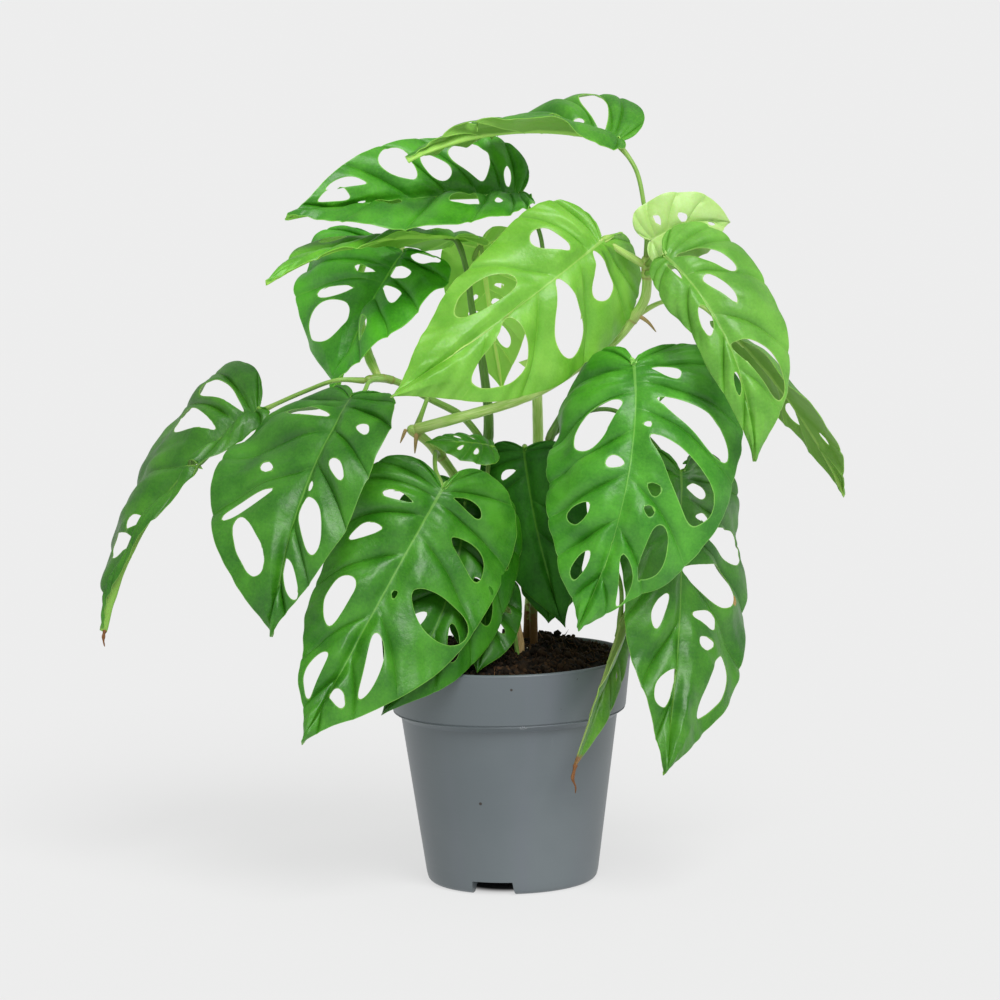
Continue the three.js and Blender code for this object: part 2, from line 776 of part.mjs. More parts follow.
    holes: [
      [[3.15, 0.24, 0.58, 0.2], [3.9, 0.4, 0.74, 0.25], [5.23, 0.36, 0.72, 0.72],
        [6.45, 0.46, 0.87, 0.6]],
      [[2.28, 0.16, 0.5, 0.38], [3.4, 0.3, 0.76, 0.42], [4.62, 0.26, 0.87, 0.81],
        [5.25, 0.08, 0.22, 0.2], [6.15, 0.12, 0.87, 0.59], [6.97, 0.12, 0.68, 0.38]],
    ],
  },
  {
    name: 'leaf_behind_front',
    on: 'stem_main',
    stalk: [[-10, 0, 174], [-13, -13, 184]],
    base: [-19, -29, 192],
    tip: [-61, -73, 96],
    face: [-0.05, -0.93, 0.36],
    half: [36, 34],
    arch: 4,
    sway: 37,
    twist: -7,
    fold: [0, -11],
    curl: [20, 36],
    lobe: [0.95, 0.6],
    wave: 1,
    holes: [
      [[3.6, 0.3, 0.75, 0.45], [4.7, 0.25, 0.7, 0.45], [5.8, 0.25, 0.65, 0.4]],
      [[3.6, 0.3, 0.75, 0.45], [4.7, 0.25, 0.8, 0.5], [5.8, 0.25, 0.7, 0.4]],
    ],
  },
  {
    name: 'leaf_rim',
    on: 'soil',
    stalk: [[-10, -12, BURIED], [-10, -12, 116], [-10, -16, 132]],
    base: [-11, -20, 149],
    tip: [-15, -47, 111],
    face: [0.03, -0.81, 0.59],
    half: [20, 19],
    arch: 4,
    sway: 21,
    twist: -7,
    fold: [0, -3],
    curl: [15, 12],
    lobe: [1, 1.02],
    wave: 1,
    holes: [
      [[4, 0.3, 0.7, 0.4], [5.2, 0.25, 0.65, 0.4]],
      [[4, 0.3, 0.7, 0.4], [5.2, 0.25, 0.65, 0.4]],
    ],
  },
  {
    name: 'leaf_left',
    on: 'stem_left',
    stalk: [[-56, 4, 248], [-64, -12, 249], [-67, -24, 245]],
    base: [-73, -32, 243],
    tip: [-112, -75, 135],
    face: [-0.53, -0.71, 0.47],
    half: [61, 36],
    arch: 52,
    sway: 6,
    twist: -35,
    fold: [-12, 11],
    curl: [9, 5],
    lobe: [0.92, 0.42],
    wave: 1.5,
    holes: [
      [[3.17, 0.12, 0.58, 0.55], [4.65, 0.36, 0.52, 0.26], [5.3, 0.3, 0.84, 0.25],
        [6.2, 0.36, 0.78, 1]],
      [[3.4, 0.46, 0.7, 0.26], [4.43, 0.38, 0.68, 0.3], [5.62, 0.19, 0.73, 0.37],
        [6.65, 0.12, 0.87, 0.42]],
    ],
  },
  {
    name: 'leaf_far_left',
    on: 'stem_left',
    stalk: [[-66, 0, 248], [-80, -4, 249], [-96, 4, 243]],
    base: [-120, 10, 233],
    tip: [-197, -8, 128],
    face: [-0.61, -0.57, 0.56],
    half: [58, 12],
    arch: 44,
    sway: -22,
    twist: 37,
    fold: [15, -4],
    curl: [45, 5],
    lobe: [0.68, 0.42],
    wave: 1,
    holes: [
      [[2.75, 0.5, 0.85, 0.35], [3.6, 0.45, 0.88, 0.5], [4.8, 0.2, 0.5, 0.25], [5.8, 0.4, 0.65, 0.25],
        [6.4, 0.4, 0.75, 0.35]],
      [[4, 0.3, 0.7, 0.4], [5.2, 0.3, 0.7, 0.4], [6.2, 0.25, 0.6, 0.3]],
    ],
  },
  {
    name: 'leaf_inner',
    on: 'soil',
    stalk: [[6, -14, BURIED], [2, -12, 148], [5, -9, 188], [10, -5, 214]],
    base: [10, -14, 214],
    tip: [28, -23, 128],
    face: [-0.34, -0.94, 0.08],
    half: [25, 29],
    arch: 4,
    sway: -14,
    twist: -8,
    fold: [5, 3],
    curl: [15, 14],
    lobe: [0.55, 0.45],
    wave: 1,
    holes: [
      [[3.3, 0.2, 0.5, 0.3]],
      [[5.2, 0.7, 0.88, 0.25]],
    ],
  },
  {
    name: 'leaf_low',
    on: 'stem_right',
    stalk: [[17, 0, 180], [20, -4, 178], [21, -6, 172]],
    base: [18, -8, 163],
    tip: [20, -15, 129],
    face: [0.19, -0.94, 0.27],
    half: [14, 24],
    arch: 15,
    sway: 2,
    twist: 2,
    fold: [-3, -5],
    curl: [26, 35],
    lobe: [0.99, 1.01],
    wave: 1,
    holes: [
      [[2.6, 0.5, 0.75, 0.25]],
      [[3, 0.6, 0.85, 0.3]],
    ],
  },
  {
    name: 'leaf_small',
    on: 'stem_main',
    stalk: [[-6, 1, 158], [-10, -12, 172], [-8, -14, 203]],
    base: [-7, -16, 217],
    tip: [-38, -24, 220],
    face: [0.2, -0.47, 0.86],
    half: [10, 14],
    arch: 23,
    sway: 4,
    twist: 3,
    fold: [-1, 0],
    curl: [20, 20],
    lobe: [0.99, 1.02],
    wave: 0.5,
    holes: [
      [[4, 0.3, 0.65, 0.4], [5.3, 0.25, 0.6, 0.35]],
      [[4, 0.3, 0.65, 0.4], [5.3, 0.25, 0.6, 0.35]],
    ],
  },
  {
    name: 'leaf_dry_tip',
    on: 'stem_right',
    stalk: [[19, -7, 200], [30, -12, 192], [46, -22, 170], [55, -33, 150]],
    base: [55, -36, 131],
    tip: [30, -66, 66],
    face: [0.88, -0.42, -0.24],
    half: [18, 11],
    arch: 5,
    sway: -3,
    twist: 22,
    fold: [33, 30],
    curl: [10, 10],
    lobe: [1.06, 0.9],
    wave: 0.5,
    holes: [
      [[4.2, 0.3, 0.65, 0.35], [5.4, 0.3, 0.6, 0.3]],
      [[4.2, 0.3, 0.65, 0.35], [5.4, 0.3, 0.6, 0.3]],
    ],
  },
];

// ---------------------------------------------------------------- assembly
const POT_GREY = new THREE.MeshStandardMaterial({ color: 0x6d757a, roughness: 0.5, metalness: 0 });
const SOIL_BROWN = new THREE.MeshStandardMaterial({ color: 0x3a2a20, roughness: 0.95, metalness: 0 });
const STEM_GREEN = new THREE.MeshStandardMaterial({ color: 0x6f9a48, roughness: 0.6, metalness: 0 });
const BARK_BROWN = new THREE.MeshStandardMaterial({ color: 0x7a5230, roughness: 0.85, metalness: 0 });
const LEAF_GREEN = new THREE.MeshStandardMaterial({ color: 0x4c9a37, roughness: 0.45, metalness: 0 });

const plant = new THREE.Group();
plant.name = 'swiss_cheese_vine';
const rooted = LEAVES.filter((leaf) => leaf.on === 'soil');
const holes = [
  ...Object.values(STEMS).map((stem) => stemSolid(stem, GAP)),
  ...rooted.map((leaf) => stalkSolid(stalkPoints(leaf, bladeFrame(leaf)), GAP)),
];
plant.add(makePot(POT_GREY));
plant.add(makeSoil(holes, SOIL_BROWN));
for (const [name, stem] of Object.entries(STEMS)) {
  plant.add(named(name, geometryOf(stemSolid(stem, 0)), name === 'dry_stump' ? BARK_BROWN : STEM_GREEN));
}
plant.add(...LEAVES.map((leaf) => makeLeaf(leaf, STEMS, LEAF_GREEN)));

export default plant;
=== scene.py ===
"""A swiss cheese vine in its grey nursery pot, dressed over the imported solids.

The tables of stems and blades repeat the sizes of the solids, in millimetres. Most holes have
sizes of their own. Every surface is worked out from the tables with numpy and put into its mesh
in metres.
"""

import logging
import math
from dataclasses import dataclass, field, replace
from enum import Enum
from typing import Any, Iterable, Sequence

import bmesh
import bpy
import numpy as np
from mathutils import Matrix, Vector


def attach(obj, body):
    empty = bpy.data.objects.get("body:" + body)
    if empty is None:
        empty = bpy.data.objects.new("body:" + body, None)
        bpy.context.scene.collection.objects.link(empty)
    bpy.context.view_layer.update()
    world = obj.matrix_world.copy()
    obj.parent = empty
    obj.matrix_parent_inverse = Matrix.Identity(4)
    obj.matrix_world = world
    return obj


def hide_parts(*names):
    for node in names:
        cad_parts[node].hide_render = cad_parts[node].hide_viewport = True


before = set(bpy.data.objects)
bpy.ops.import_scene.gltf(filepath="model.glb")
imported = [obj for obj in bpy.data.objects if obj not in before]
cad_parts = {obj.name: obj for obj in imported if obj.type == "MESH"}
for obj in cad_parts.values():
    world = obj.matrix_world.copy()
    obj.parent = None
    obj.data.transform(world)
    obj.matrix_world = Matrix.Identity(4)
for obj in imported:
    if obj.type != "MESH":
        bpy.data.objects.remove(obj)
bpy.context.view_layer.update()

log = logging.getLogger("vine")

MM = 0.001
UV_PER_MM = 0.01
TINY = 1e-6

# After how many numbers the lattice noise repeats, the least squared girth of a bar's end as a
# share, what half the way around a bar counts for in u, and the full core of a round patch.
LATTICE = 64
BAR_END = 0.02
BAR_GIRTH_UV = 0.08
PATCH_CORE = 0.6

# The width of a render in pixels and of the camera's sensor in millimetres.
RENDER_WIDTH = 1000
SENSOR = 36

# The rows of a blade, from the notch behind the stalk to the tip: where a side vein leaves the
# rib, the angle it leaves at and its reach, the first and last as shares of the blade's length.
ROWS = np.array(
    [
        [0, 176, 0.05],
        [0, 142, 0.2],
        [0.012, 112, 0.325],
        [0.06, 88, 0.385],
        [0.17, 72, 0.41],
        [0.33, 61, 0.395],
        [0.53, 50, 0.3],
        [0.76, 38, 0.155],
        [1, 24, 0],
    ]
)
LAST_ROW = len(ROWS) - 1

# Above the square angle a leaf's lobe opens its rows, up to the widest angle. A side vein bends
# by VEIN_BEND, the widest half reaches HALF_REACH of the length, and the margin waves along it.
SQUARE_ANGLE = 88.0
WIDEST_ANGLE = 176.0
VEIN_BEND = math.radians(22)
HALF_REACH = 0.385
WAVES = 19


class Side(Enum):
    """The halves of a blade, seen from its face with the tip down."""

    LEFT = 0
    RIGHT = 1

    @property
    def sign(self) -> int:
        """-1 on the left and 1 on the right."""
        return 1 if self is Side.RIGHT else -1


@dataclass(frozen=True)
class LeafPlan:
    """The sizes of one leaf; pairs are given for the left half and then the right.

    A hole is its row, its inner and outer share of the half, its width in rows and its skew.
    """

    name: str
    on: str
    base: tuple
    tip: tuple
    stalk: tuple
    face: tuple
    half: tuple
    arch: float
    sway: float
    twist: float
    fold: tuple
    curl: tuple
    lobe: tuple
    wave: float
    holes: tuple


@dataclass(frozen=True)
class StemPlan:
    """The sizes of one stem: its middle lines, and the roots and spikes at its knots."""

    name: str
    radius: float
    lines: tuple
    twigs: tuple


# Most sizes of the blades and most holes were not set by hand: scratch programs worked them out
# from points read off the photo and wrote this table.
LEAVES: tuple[LeafPlan, ...] = (
    LeafPlan(
        name="leaf_crown", on="stem_main", base=(57, -10, 363), tip=(-43, -45, 358),
        stalk=((71, -16, 306), (71, -19, 318), (70, -17, 332), (66, -13, 350)),
        face=(0.01, -0.16, 0.99), half=(48, 18), arch=37, sway=-20, twist=68,
        fold=(37, 4), curl=(45, 18), lobe=(0.93, 0.42), wave=1,
        holes=(
            ((2.92, 0.05, 0.76, 0.81, -0.18), (3.87, 0.07, 0.16, 0.3, -0.1),
                (4.37, 0.16, 0.26, 0.36, -0.08), (5.77, 0.05, 0.61, 0.2, -0.77)),
            ((5.99, 0.43, 0.81, 0.24, -0.14),),
        ),
    ),
    LeafPlan(
        name="leaf_upper_left", on="stem_back", base=(10, 12, 336), tip=(-102, -28, 330),
        stalk=((17, 12, 262), (21, 18, 290), (20, 20, 316)),
        face=(0.06, -0.31, 0.95), half=(34, 45), arch=5, sway=-22, twist=-28,
        fold=(37, 21), curl=(10, 15), lobe=(0.5, 0.42), wave=1,
        holes=(
            ((2.66, 0.1, 0.45, 0.39, -0.09), (3.55, 0.17, 0.82, 0.75, -0.17),
                (4.42, 0.23, 0.68, 0.53, -0.14), (5.05, 0.29, 0.93, 0.61, -0.21),
                (6.18, 0.51, 0.88, 0.53, 0.16), (6.5, 0.05, 0.12, 0.17, -0.01),
                (6.68, 0.29, 0.81, 0.61, -0.02)),
            ((3.24, 0.41, 0.64, 0.23, -0.06), (4.14, 0.12, 0.64, 0.65, -0.04),
                (5.89, 0.1, 0.49, 0.47, -0.19)),
        ),
    ),
    LeafPlan(
        name="leaf_arching_left", on="stem_left", base=(-21, 8, 316), tip=(-112, -40, 300),
        stalk=((-8, 14, 207), (-7, 8, 228), (-9, 3, 252), (-14, 1, 283), (-16, 4, 300)),
        face=(-0.23, 0.12, 0.97), half=(36, 14), arch=39, sway=10, twist=-23,
        fold=(2, 9), curl=(20, 20), lobe=(0.54, 1.1), wave=1,
        holes=(
            ((3.4, 0.3, 0.7, 0.45, 0), (4.6, 0.25, 0.65, 0.45, 0), (5.8, 0.25, 0.6, 0.35, 0)),
            ((3.2, 0.3, 0.7, 0.45, 0), (4.3, 0.25, 0.65, 0.45, 0), (5.5, 0.25, 0.6, 0.35, 0)),
        ),
    ),
    LeafPlan(
        name="leaf_hanging_left", on="stem_left", base=(-47, 32, 307), tip=(-81, 10, 242),
        stalk=((-60, 2, 249), (-65, 14, 259), (-69, 34, 276), (-69, 47, 295), (-62, 52, 308),
            (-52, 45, 310)),
        face=(-0.5, -0.71, 0.5), half=(60, 41), arch=35, sway=-4, twist=22,
        fold=(9, 13), curl=(20, 20), lobe=(0.42, 0.52), wave=1.5,
        holes=(
            ((4.13, 0.1, 0.26, 0.29, -0.02), (4.8, 0.23, 0.69, 0.33, -0.07),
                (5.71, 0.14, 0.89, 1.27, -0.02)),
            ((1.88, 0.21, 0.82, 1.31, -0.57), (3.75, 0.05, 0.4, 0.59, -0.23),
                (4.5, 0.2, 0.65, 0.45, -0.02), (5.75, 0.25, 0.69, 0.44, 0.02)),
        ),
    ),
    LeafPlan(
        name="leaf_centre", on="stem_main", base=(49, -27, 316), tip=(-53, -78, 249),
        stalk=((71, -15, 302), (62, -18, 308)),
        face=(0.37, -0.92, 0.15), half=(36, 49), arch=30, sway=1, twist=17,
        fold=(-15, -15), curl=(20, 15), lobe=(0.45, 1.19), wave=1.5,
        holes=(
            ((3.61, 0.18, 0.64, 0.53, -0.06), (5.29, 0.25, 0.73, 1.22, 0)),
            ((2.94, 0.05, 0.53, 0.89, 0.02), (4.29, 0.05, 0.8, 0.74, -0.19),
                (5.75, 0.05, 0.87, 0.93, -0.06)),
        ),
    ),
    LeafPlan(
        name="leaf_behind_centre", on="stem_main", base=(-9, 31, 309), tip=(0, 15, 240),
        stalk=((-42, -14, 226), (-36, 2, 240), (-28, 18, 261), (-18, 31, 290)),
        face=(0, 1, 0.1), half=(22, 22), arch=-20, sway=0, twist=0,
        fold=(0, 0), curl=(20, 20), lobe=(1, 1), wave=1.5,
        holes=(
            ((4.43, 0.16, 0.38, 0.24, -0.11), (5.15, 0.05, 0.28, 0.3, -0.13),
                (6.13, 0.05, 0.64, 0.68, -0.1)),
            ((4.66, 0.2, 0.48, 0.31, -0.17), (5.17, 0.25, 0.59, 0.29, -0.22)),
        ),
    ),
    LeafPlan(
        name="leaf_young", on="stem_main", base=(73, -26, 316), tip=(112, -8, 322),
        stalk=((71, -16, 303), (73, -22, 306), (74, -25, 311)),
        face=(0.24, -0.74, 0.62), half=(20, 18), arch=52, sway=17, twist=7,
        fold=(0, 41), curl=(20, 16), lobe=(1, 0.71), wave=1,
        holes=(
            ((6.62, 0.05, 0.45, 0.39, -0.12),),
            ((3.45, 0.23, 0.56, 0.43, -0.16), (5.06, 0.05, 0.42, 0.48, -0.31)),
        ),
    ),
    LeafPlan(
        name="leaf_upper_right", on="stem_main", base=(79, -50, 310), tip=(118, -75, 214),
        stalk=((71, -15, 299), (72, -33, 301)),
        face=(0.11, -0.95, 0.29), half=(16, 40), arch=52, sway=37, twist=-12,
        fold=(-12, 0), curl=(36, 45), lobe=(0.42, 0.85), wave=1,
        holes=(
            ((3.12, 0.05, 0.19, 0.99, -0.1), (4.77, 0.05, 0.5, 0.66, -0.12),
                (6.29, 0.09, 0.52, 0.4, -0.11)),
            ((3.09, 0.1, 0.62, 0.69, 0.4), (4.24, 0.12, 0.34, 0.71, 0.16),
                (5.86, 0.05, 0.93, 0.75, 0.12)),
        ),
    ),
    LeafPlan(
        name="leaf_far_right", on="stem_main", base=(114, 0, 266), tip=(167, 20, 183),
        stalk=((65, -10, 278), (80, -4, 284), (97, 2, 281)),
        face=(0.75, 0.35, 0.57), half=(27, 16), arch=16, sway=-22, twist=-25,
        fold=(-8, -2), curl=(20, 20), lobe=(1.04, 1.03), wave=2,
        holes=(
            ((6.3, 0.22, 0.46, 0.25, 0),),
            ((5.33, 0.22, 0.69, 0.59, -0.11),),
        ),
    ),
    LeafPlan(
        name="leaf_middle_right", on="stem_right", base=(63, -50, 258), tip=(33, -75, 136),
        stalk=((37, -25, 244), (46, -34, 257)),
        face=(-0.3, -0.92, 0.26), half=(56, 59), arch=52, sway=47, twist=-18,
        fold=(-12, -12), curl=(45, 45), lobe=(1.15, 0.85), wave=1.5,
        holes=(
            ((3.94, 0.11, 0.59, 0.9, 0.12), (5.09, 0.06, 0.22, 0.24, -0.09),
                (5.72, 0.36, 0.71, 0.33, -0.01), (6.64, 0.35, 0.77, 0.37, 0.05)),
            ((2.51, 0.15, 0.41, 0.47, 0.07), (3.66, 0.16, 0.87, 0.5, 0.11),
                (4.31, 0.07, 0.14, 0.14, -0.02), (4.72, 0.13, 0.89, 0.69, 0.12),
                (5.31, 0.21, 0.34, 0.21, -0.03), (5.65, 0.24, 0.36, 0.18, -0.04),
                (5.96, 0.42, 0.78, 0.75, 0.11), (6.64, 0.23, 0.93, 0.38, 0.1)),
        ),
    ),
    LeafPlan(
        name="leaf_lower_right", on="stem_right", base=(85, -32, 204), tip=(73, -84, 66),
        stalk=((23, -15, 221), (37, -14, 231), (54, -10, 232), (70, -14, 219), (78, -22, 210)),
        face=(0.75, -0.64, 0.17), half=(35, 64), arch=4, sway=14, twist=11,
        fold=(-11, -6), curl=(19, 17), lobe=(0.64, 0.73), wave=1.5,
        holes=(
            ((5.14, 0.35, 0.64, 0.46, 0.02), (6.49, 0.05, 0.81, 0.58, -0.18)),
            ((2.81, 0.05, 0.33, 0.5, 0.04), (3.56, 0.13, 0.34, 0.22, -0.1),
                (3.61, 0.25, 0.93, 0.62, -0.29), (4.65, 0.05, 0.65, 0.61, -0.22),
                (5.33, 0.14, 0.5, 0.29, -0.18), (5.72, 0.21, 0.47, 0.21, -0.13),
                (5.97, 0.53, 0.85, 1.19, -0.06)),
        ),
    ),
    LeafPlan(
        name="leaf_front", on="stem_main", base=(-30, -46, 200), tip=(-99, -86, 85),
        stalk=((-32, -9, 212), (-33, -24, 215), (-33, -36, 209)),
        face=(0.28, -0.95, 0.16), half=(40, 51), arch=4, sway=-2, twist=33,
        fold=(-3, -5), curl=(45, 13), lobe=(0.51, 1.12), wave=1.5,
        holes=(
            ((3.14, 0.23, 0.57, 0.2, -0.05), (3.9, 0.38, 0.74, 0.31, -0.04),
                (5.22, 0.36, 0.72, 0.81, -0.03), (6.43, 0.47, 0.92, 0.67, 0.07)),
            ((2.29, 0.17, 0.51, 0.43, 0.1), (3.39, 0.3, 0.76, 0.48, -0.04),
                (4.62, 0.26, 0.93, 0.72, -0.31), (5.24, 0.07, 0.14, 0.14, -0.02),
                (6.12, 0.16, 0.74, 0.5, 0.16), (6.97, 0.05, 0.7, 0.24, -0.18)),
        ),
    ),
    LeafPlan(
        name="leaf_behind_front", on="stem_main", base=(-19, -29, 192), tip=(-61, -73, 96),
        stalk=((-10, 0, 174), (-13, -13, 184)),
        face=(-0.05, -0.93, 0.36), half=(36, 34), arch=4, sway=37, twist=-7,
        fold=(0, -11), curl=(20, 36), lobe=(0.95, 0.6), wave=1,
        holes=(
            ((3.6, 0.3, 0.75, 0.45, 0), (4.7, 0.25, 0.7, 0.45, 0), (5.8, 0.25, 0.65, 0.4, 0)),
            ((3.6, 0.3, 0.75, 0.45, 0), (4.7, 0.25, 0.8, 0.5, 0), (5.8, 0.25, 0.7, 0.4, 0)),
        ),
    ),
    LeafPlan(
        name="leaf_rim", on="soil", base=(-11, -20, 149), tip=(-15, -47, 111),
        stalk=((-10, -12, 99), (-10, -12, 116), (-10, -16, 132)),
        face=(0.03, -0.81, 0.59), half=(20, 19), arch=4, sway=21, twist=-7,
        fold=(0, -3), curl=(15, 12), lobe=(1, 1.02), wave=1,
        holes=(
            ((4, 0.3, 0.7, 0.4, 0), (5.2, 0.25, 0.65, 0.4, 0)),
            ((4, 0.3, 0.7, 0.4, 0), (5.2, 0.25, 0.65, 0.4, 0)),
        ),
    ),
    LeafPlan(
        name="leaf_left", on="stem_left", base=(-73, -32, 243), tip=(-112, -75, 135),
        stalk=((-56, 4, 248), (-64, -12, 249), (-67, -24, 245)),
        face=(-0.53, -0.71, 0.47), half=(61, 36), arch=52, sway=6, twist=-35,
        fold=(-12, 11), curl=(9, 5), lobe=(0.92, 0.42), wave=1.5,
        holes=(
            ((3.17, 0.05, 0.57, 0.41, -0.23), (4.67, 0.37, 0.52, 0.24, -0.11),
                (5.29, 0.31, 0.85, 0.25, -0.02), (6.19, 0.38, 0.8, 1.08, -0.25)),
            ((3.39, 0.45, 0.7, 0.24, -0.07), (4.42, 0.38, 0.68, 0.28, -0.09),
                (5.29, 0.05, 0.2, 0.21, -0.04), (5.61, 0.09, 0.8, 0.66, -0.08),
                (6.64, 0.15, 0.93, 0.45, -0.09)),
        ),
    ),
    LeafPlan(
        name="leaf_far_left", on="stem_left", base=(-120, 10, 233), tip=(-197, -8, 128),
        stalk=((-66, 0, 248), (-80, -4, 249), (-96, 4, 243)),
        face=(-0.61, -0.57, 0.56), half=(58, 12), arch=44, sway=-22, twist=37,
        fold=(15, -4), curl=(45, 5), lobe=(0.68, 0.42), wave=1,
        holes=(
            ((2.79, 0.1, 0.63, 0.65, 0.1), (3.79, 0.11, 0.63, 0.56, -0.05),
                (6.09, 0.06, 0.32, 0.21, -0.03), (6.33, 0.1, 0.75, 0.45, -0.19)),
            ((4.36, 0.07, 0.87, 0.14, -0.54),),
        ),
    ),
    LeafPlan(
        name="leaf_inner", on="soil", base=(10, -14, 214), tip=(28, -23, 128),
        stalk=((6, -14, 99), (2, -12, 148), (5, -9, 188), (10, -5, 214)),
        face=(-0.34, -0.94, 0.08), half=(25, 29), arch=4, sway=-14, twist=-8,
        fold=(5, 3), curl=(15, 14), lobe=(0.55, 0.45), wave=1,
        holes=(
            ((3.3, 0.2, 0.5, 0.3, 0),),
            ((5.2, 0.7, 0.88, 0.25, 0),),
        ),
    ),
    LeafPlan(
        name="leaf_low", on="stem_right", base=(18, -8, 163), tip=(20, -15, 129),
        stalk=((17, 0, 180), (20, -4, 178), (21, -6, 172)),
        face=(0.19, -0.94, 0.27), half=(14, 24), arch=15, sway=2, twist=2,
        fold=(-3, -5), curl=(26, 35), lobe=(0.99, 1.01), wave=1,
        holes=(
            ((2.6, 0.5, 0.75, 0.25, 0),),
            ((3, 0.6, 0.85, 0.3, 0),),
        ),
    ),
    LeafPlan(
        name="leaf_small", on="stem_main", base=(-7, -16, 217), tip=(-38, -24, 220),
        stalk=((-6, 1, 158), (-10, -12, 172), (-8, -14, 203)),
        face=(0.2, -0.47, 0.86), half=(10, 14), arch=23, sway=4, twist=3,
        fold=(-1, 0), curl=(20, 20), lobe=(0.99, 1.02), wave=0.5,
        holes=(
            ((4, 0.3, 0.65, 0.4, 0), (5.3, 0.25, 0.6, 0.35, 0)),
            ((4, 0.3, 0.65, 0.4, 0), (5.3, 0.25, 0.6, 0.35, 0)),
        ),
    ),
    LeafPlan(
        name="leaf_dry_tip", on="stem_right", base=(55, -36, 131), tip=(30, -66, 66),
        stalk=((19, -7, 200), (30, -12, 192), (46, -22, 170), (55, -33, 150)),
        face=(0.88, -0.42, -0.24), half=(18, 11), arch=5, sway=-3, twist=22,
        fold=(33, 30), curl=(10, 10), lobe=(1.06, 0.9), wave=0.5,
        holes=(
            ((5.1, 0.35, 0.62, 0.25, 0),),
            ((4.4, 0.4, 0.58, 0.14, 0),),
        ),
    ),
)

STEMS: tuple[StemPlan, ...] = (
    StemPlan(
        name="stem_main", radius=2.7,
        lines=(
            ((2, 0, 99), (2, 0, 118), (-3, 2, 148), (-12, 0, 180), (-24, -4, 201), (-36, -11, 218),
                (-46, -16, 227)),
            ((-44, -15, 225), (-25, -16, 230), (-7, -12, 234), (8, -8, 238), (20, -6, 243),
                (38, -6, 254), (55, -8, 266), (65, -10, 278), (70, -12, 287), (71, -14, 297),
                (71, -16, 308)),
        ),
        twigs=((0.8, ((-42, -17, 224), (-43, -18, 214))), (0.7, ((-47, -16, 226),
            (-50, -16, 219))), (0.8, ((65, -10, 279), (71, -12, 275), (75, -13, 270)))),
    ),
    StemPlan(
        name="stem_left", radius=2,
        lines=(
            ((3, 11, 99), (2, 11, 130), (-1, 12, 165), (-6, 14, 196), (-10, 14, 214),
                (-20, 12, 228), (-35, 10, 237), (-50, 6, 246), (-60, 2, 249), (-67, 0, 248)),
        ),
        twigs=(),
    ),
    StemPlan(
        name="stem_back", radius=2.9,
        lines=(
            ((9, 17, 99), (12, 18, 140), (16, 19, 180), (17, 18, 215), (17, 14, 240),
                (17, 12, 268)),
        ),
        twigs=(),
    ),
    StemPlan(
        name="stem_right", radius=2.1,
        lines=(
            ((13, 7, 99), (13, 6, 130), (15, 2, 160), (19, -7, 200), (23, -15, 221),
                (39, -26, 247)),
        ),
        twigs=((0.7, ((37, -25, 243), (42, -27, 238))),),
    ),
    StemPlan(
        name="dry_stump", radius=2.2,
        lines=(
            ((6, -8, 99), (6, -8, 118), (4, -7, 131)),
        ),
        twigs=(),
    ),
)


# ------------------------------------------------------------------ curves and meshes


def unit(vectors: np.ndarray) -> np.ndarray:
    """Vectors divided by their own lengths, along the last axis."""
    return vectors / np.maximum(np.linalg.norm(vectors, axis=-1, keepdims=True), 1e-12)


def bell(distance: np.ndarray, width: float) -> np.ndarray:
    """One at distance 0, falling off as a bell whose half width is about width."""
    return np.exp(-((distance / width) ** 2))


def spline(knots: Sequence, count: int) -> np.ndarray:
    """A smooth curve through the knots, at evenly spaced points.

    Between two knots it is a cubic whose end slopes come from the neighbours, weighted by the
    square roots of the distances between the knots. The ends are mirrored.

    Args:
        knots: the points to pass through.
        count: how many points to return.

    Returns:
        An array of count points.
    """
    p = np.asarray(knots, float)
    p = np.vstack([2 * p[0] - p[1], p, 2 * p[-1] - p[-2]])
    gap = np.sqrt(np.linalg.norm(np.diff(p, axis=0), axis=1))[:, None]
    slope = np.diff(p, axis=0) / gap
    middle = slope[:-1] - (p[2:] - p[:-2]) / (gap[:-1] + gap[1:]) + slope[1:]
    f = np.linspace(0, 1, 40, endpoint=False)[None, :, None]
    a, b, step = p[1:-2, None], p[2:-1, None], gap[1:-1, None]
    out, into = middle[:-1, None] * step, middle[1:, None] * step
    curve = a + out * f + (3 * (b - a) - 2 * out - into) * f**2 + (2 * (a - b) + out + into) * f**3
    curve = np.vstack([curve.reshape(-1, 3), p[-2]])
    passed = np.concatenate([[0], np.cumsum(np.linalg.norm(np.diff(curve, axis=0), axis=1))])
    marks = np.linspace(0, passed[-1], count)
    return np.stack([np.interp(marks, passed, curve[:, k]) for k in range(3)], axis=1)


def grid_faces(rows: int, columns: int, closed: bool = False) -> np.ndarray:
    """Triangles of a grid whose faces look along (row direction) x (column direction).

    Args:
        rows: points along the first direction.
        columns: points along the second.
        closed: whether the last column joins the first.

    Returns:
        An array of corner numbers, three a triangle.
    """
    across = np.arange(columns if closed else columns - 1)
    i, j = np.meshgrid(np.arange(rows - 1), across, indexing="ij")
    after = (j + 1) % columns
    a, b = i * columns + j, (i + 1) * columns + j
    c, d = (i + 1) * columns + after, i * columns + after
    return np.stack([a, b, c, a, c, d], axis=-1).reshape(-1, 3)


def ring_places(radii: np.ndarray, sides: int) -> tuple[np.ndarray, np.ndarray]:
    """Where the points of level rings about the upright axis lie: (r cos a, r sin a)."""
    turn = np.linspace(0, 2 * np.pi, sides, endpoint=False)
    return radii[:, None] * np.cos(turn), radii[:, None] * np.sin(turn)


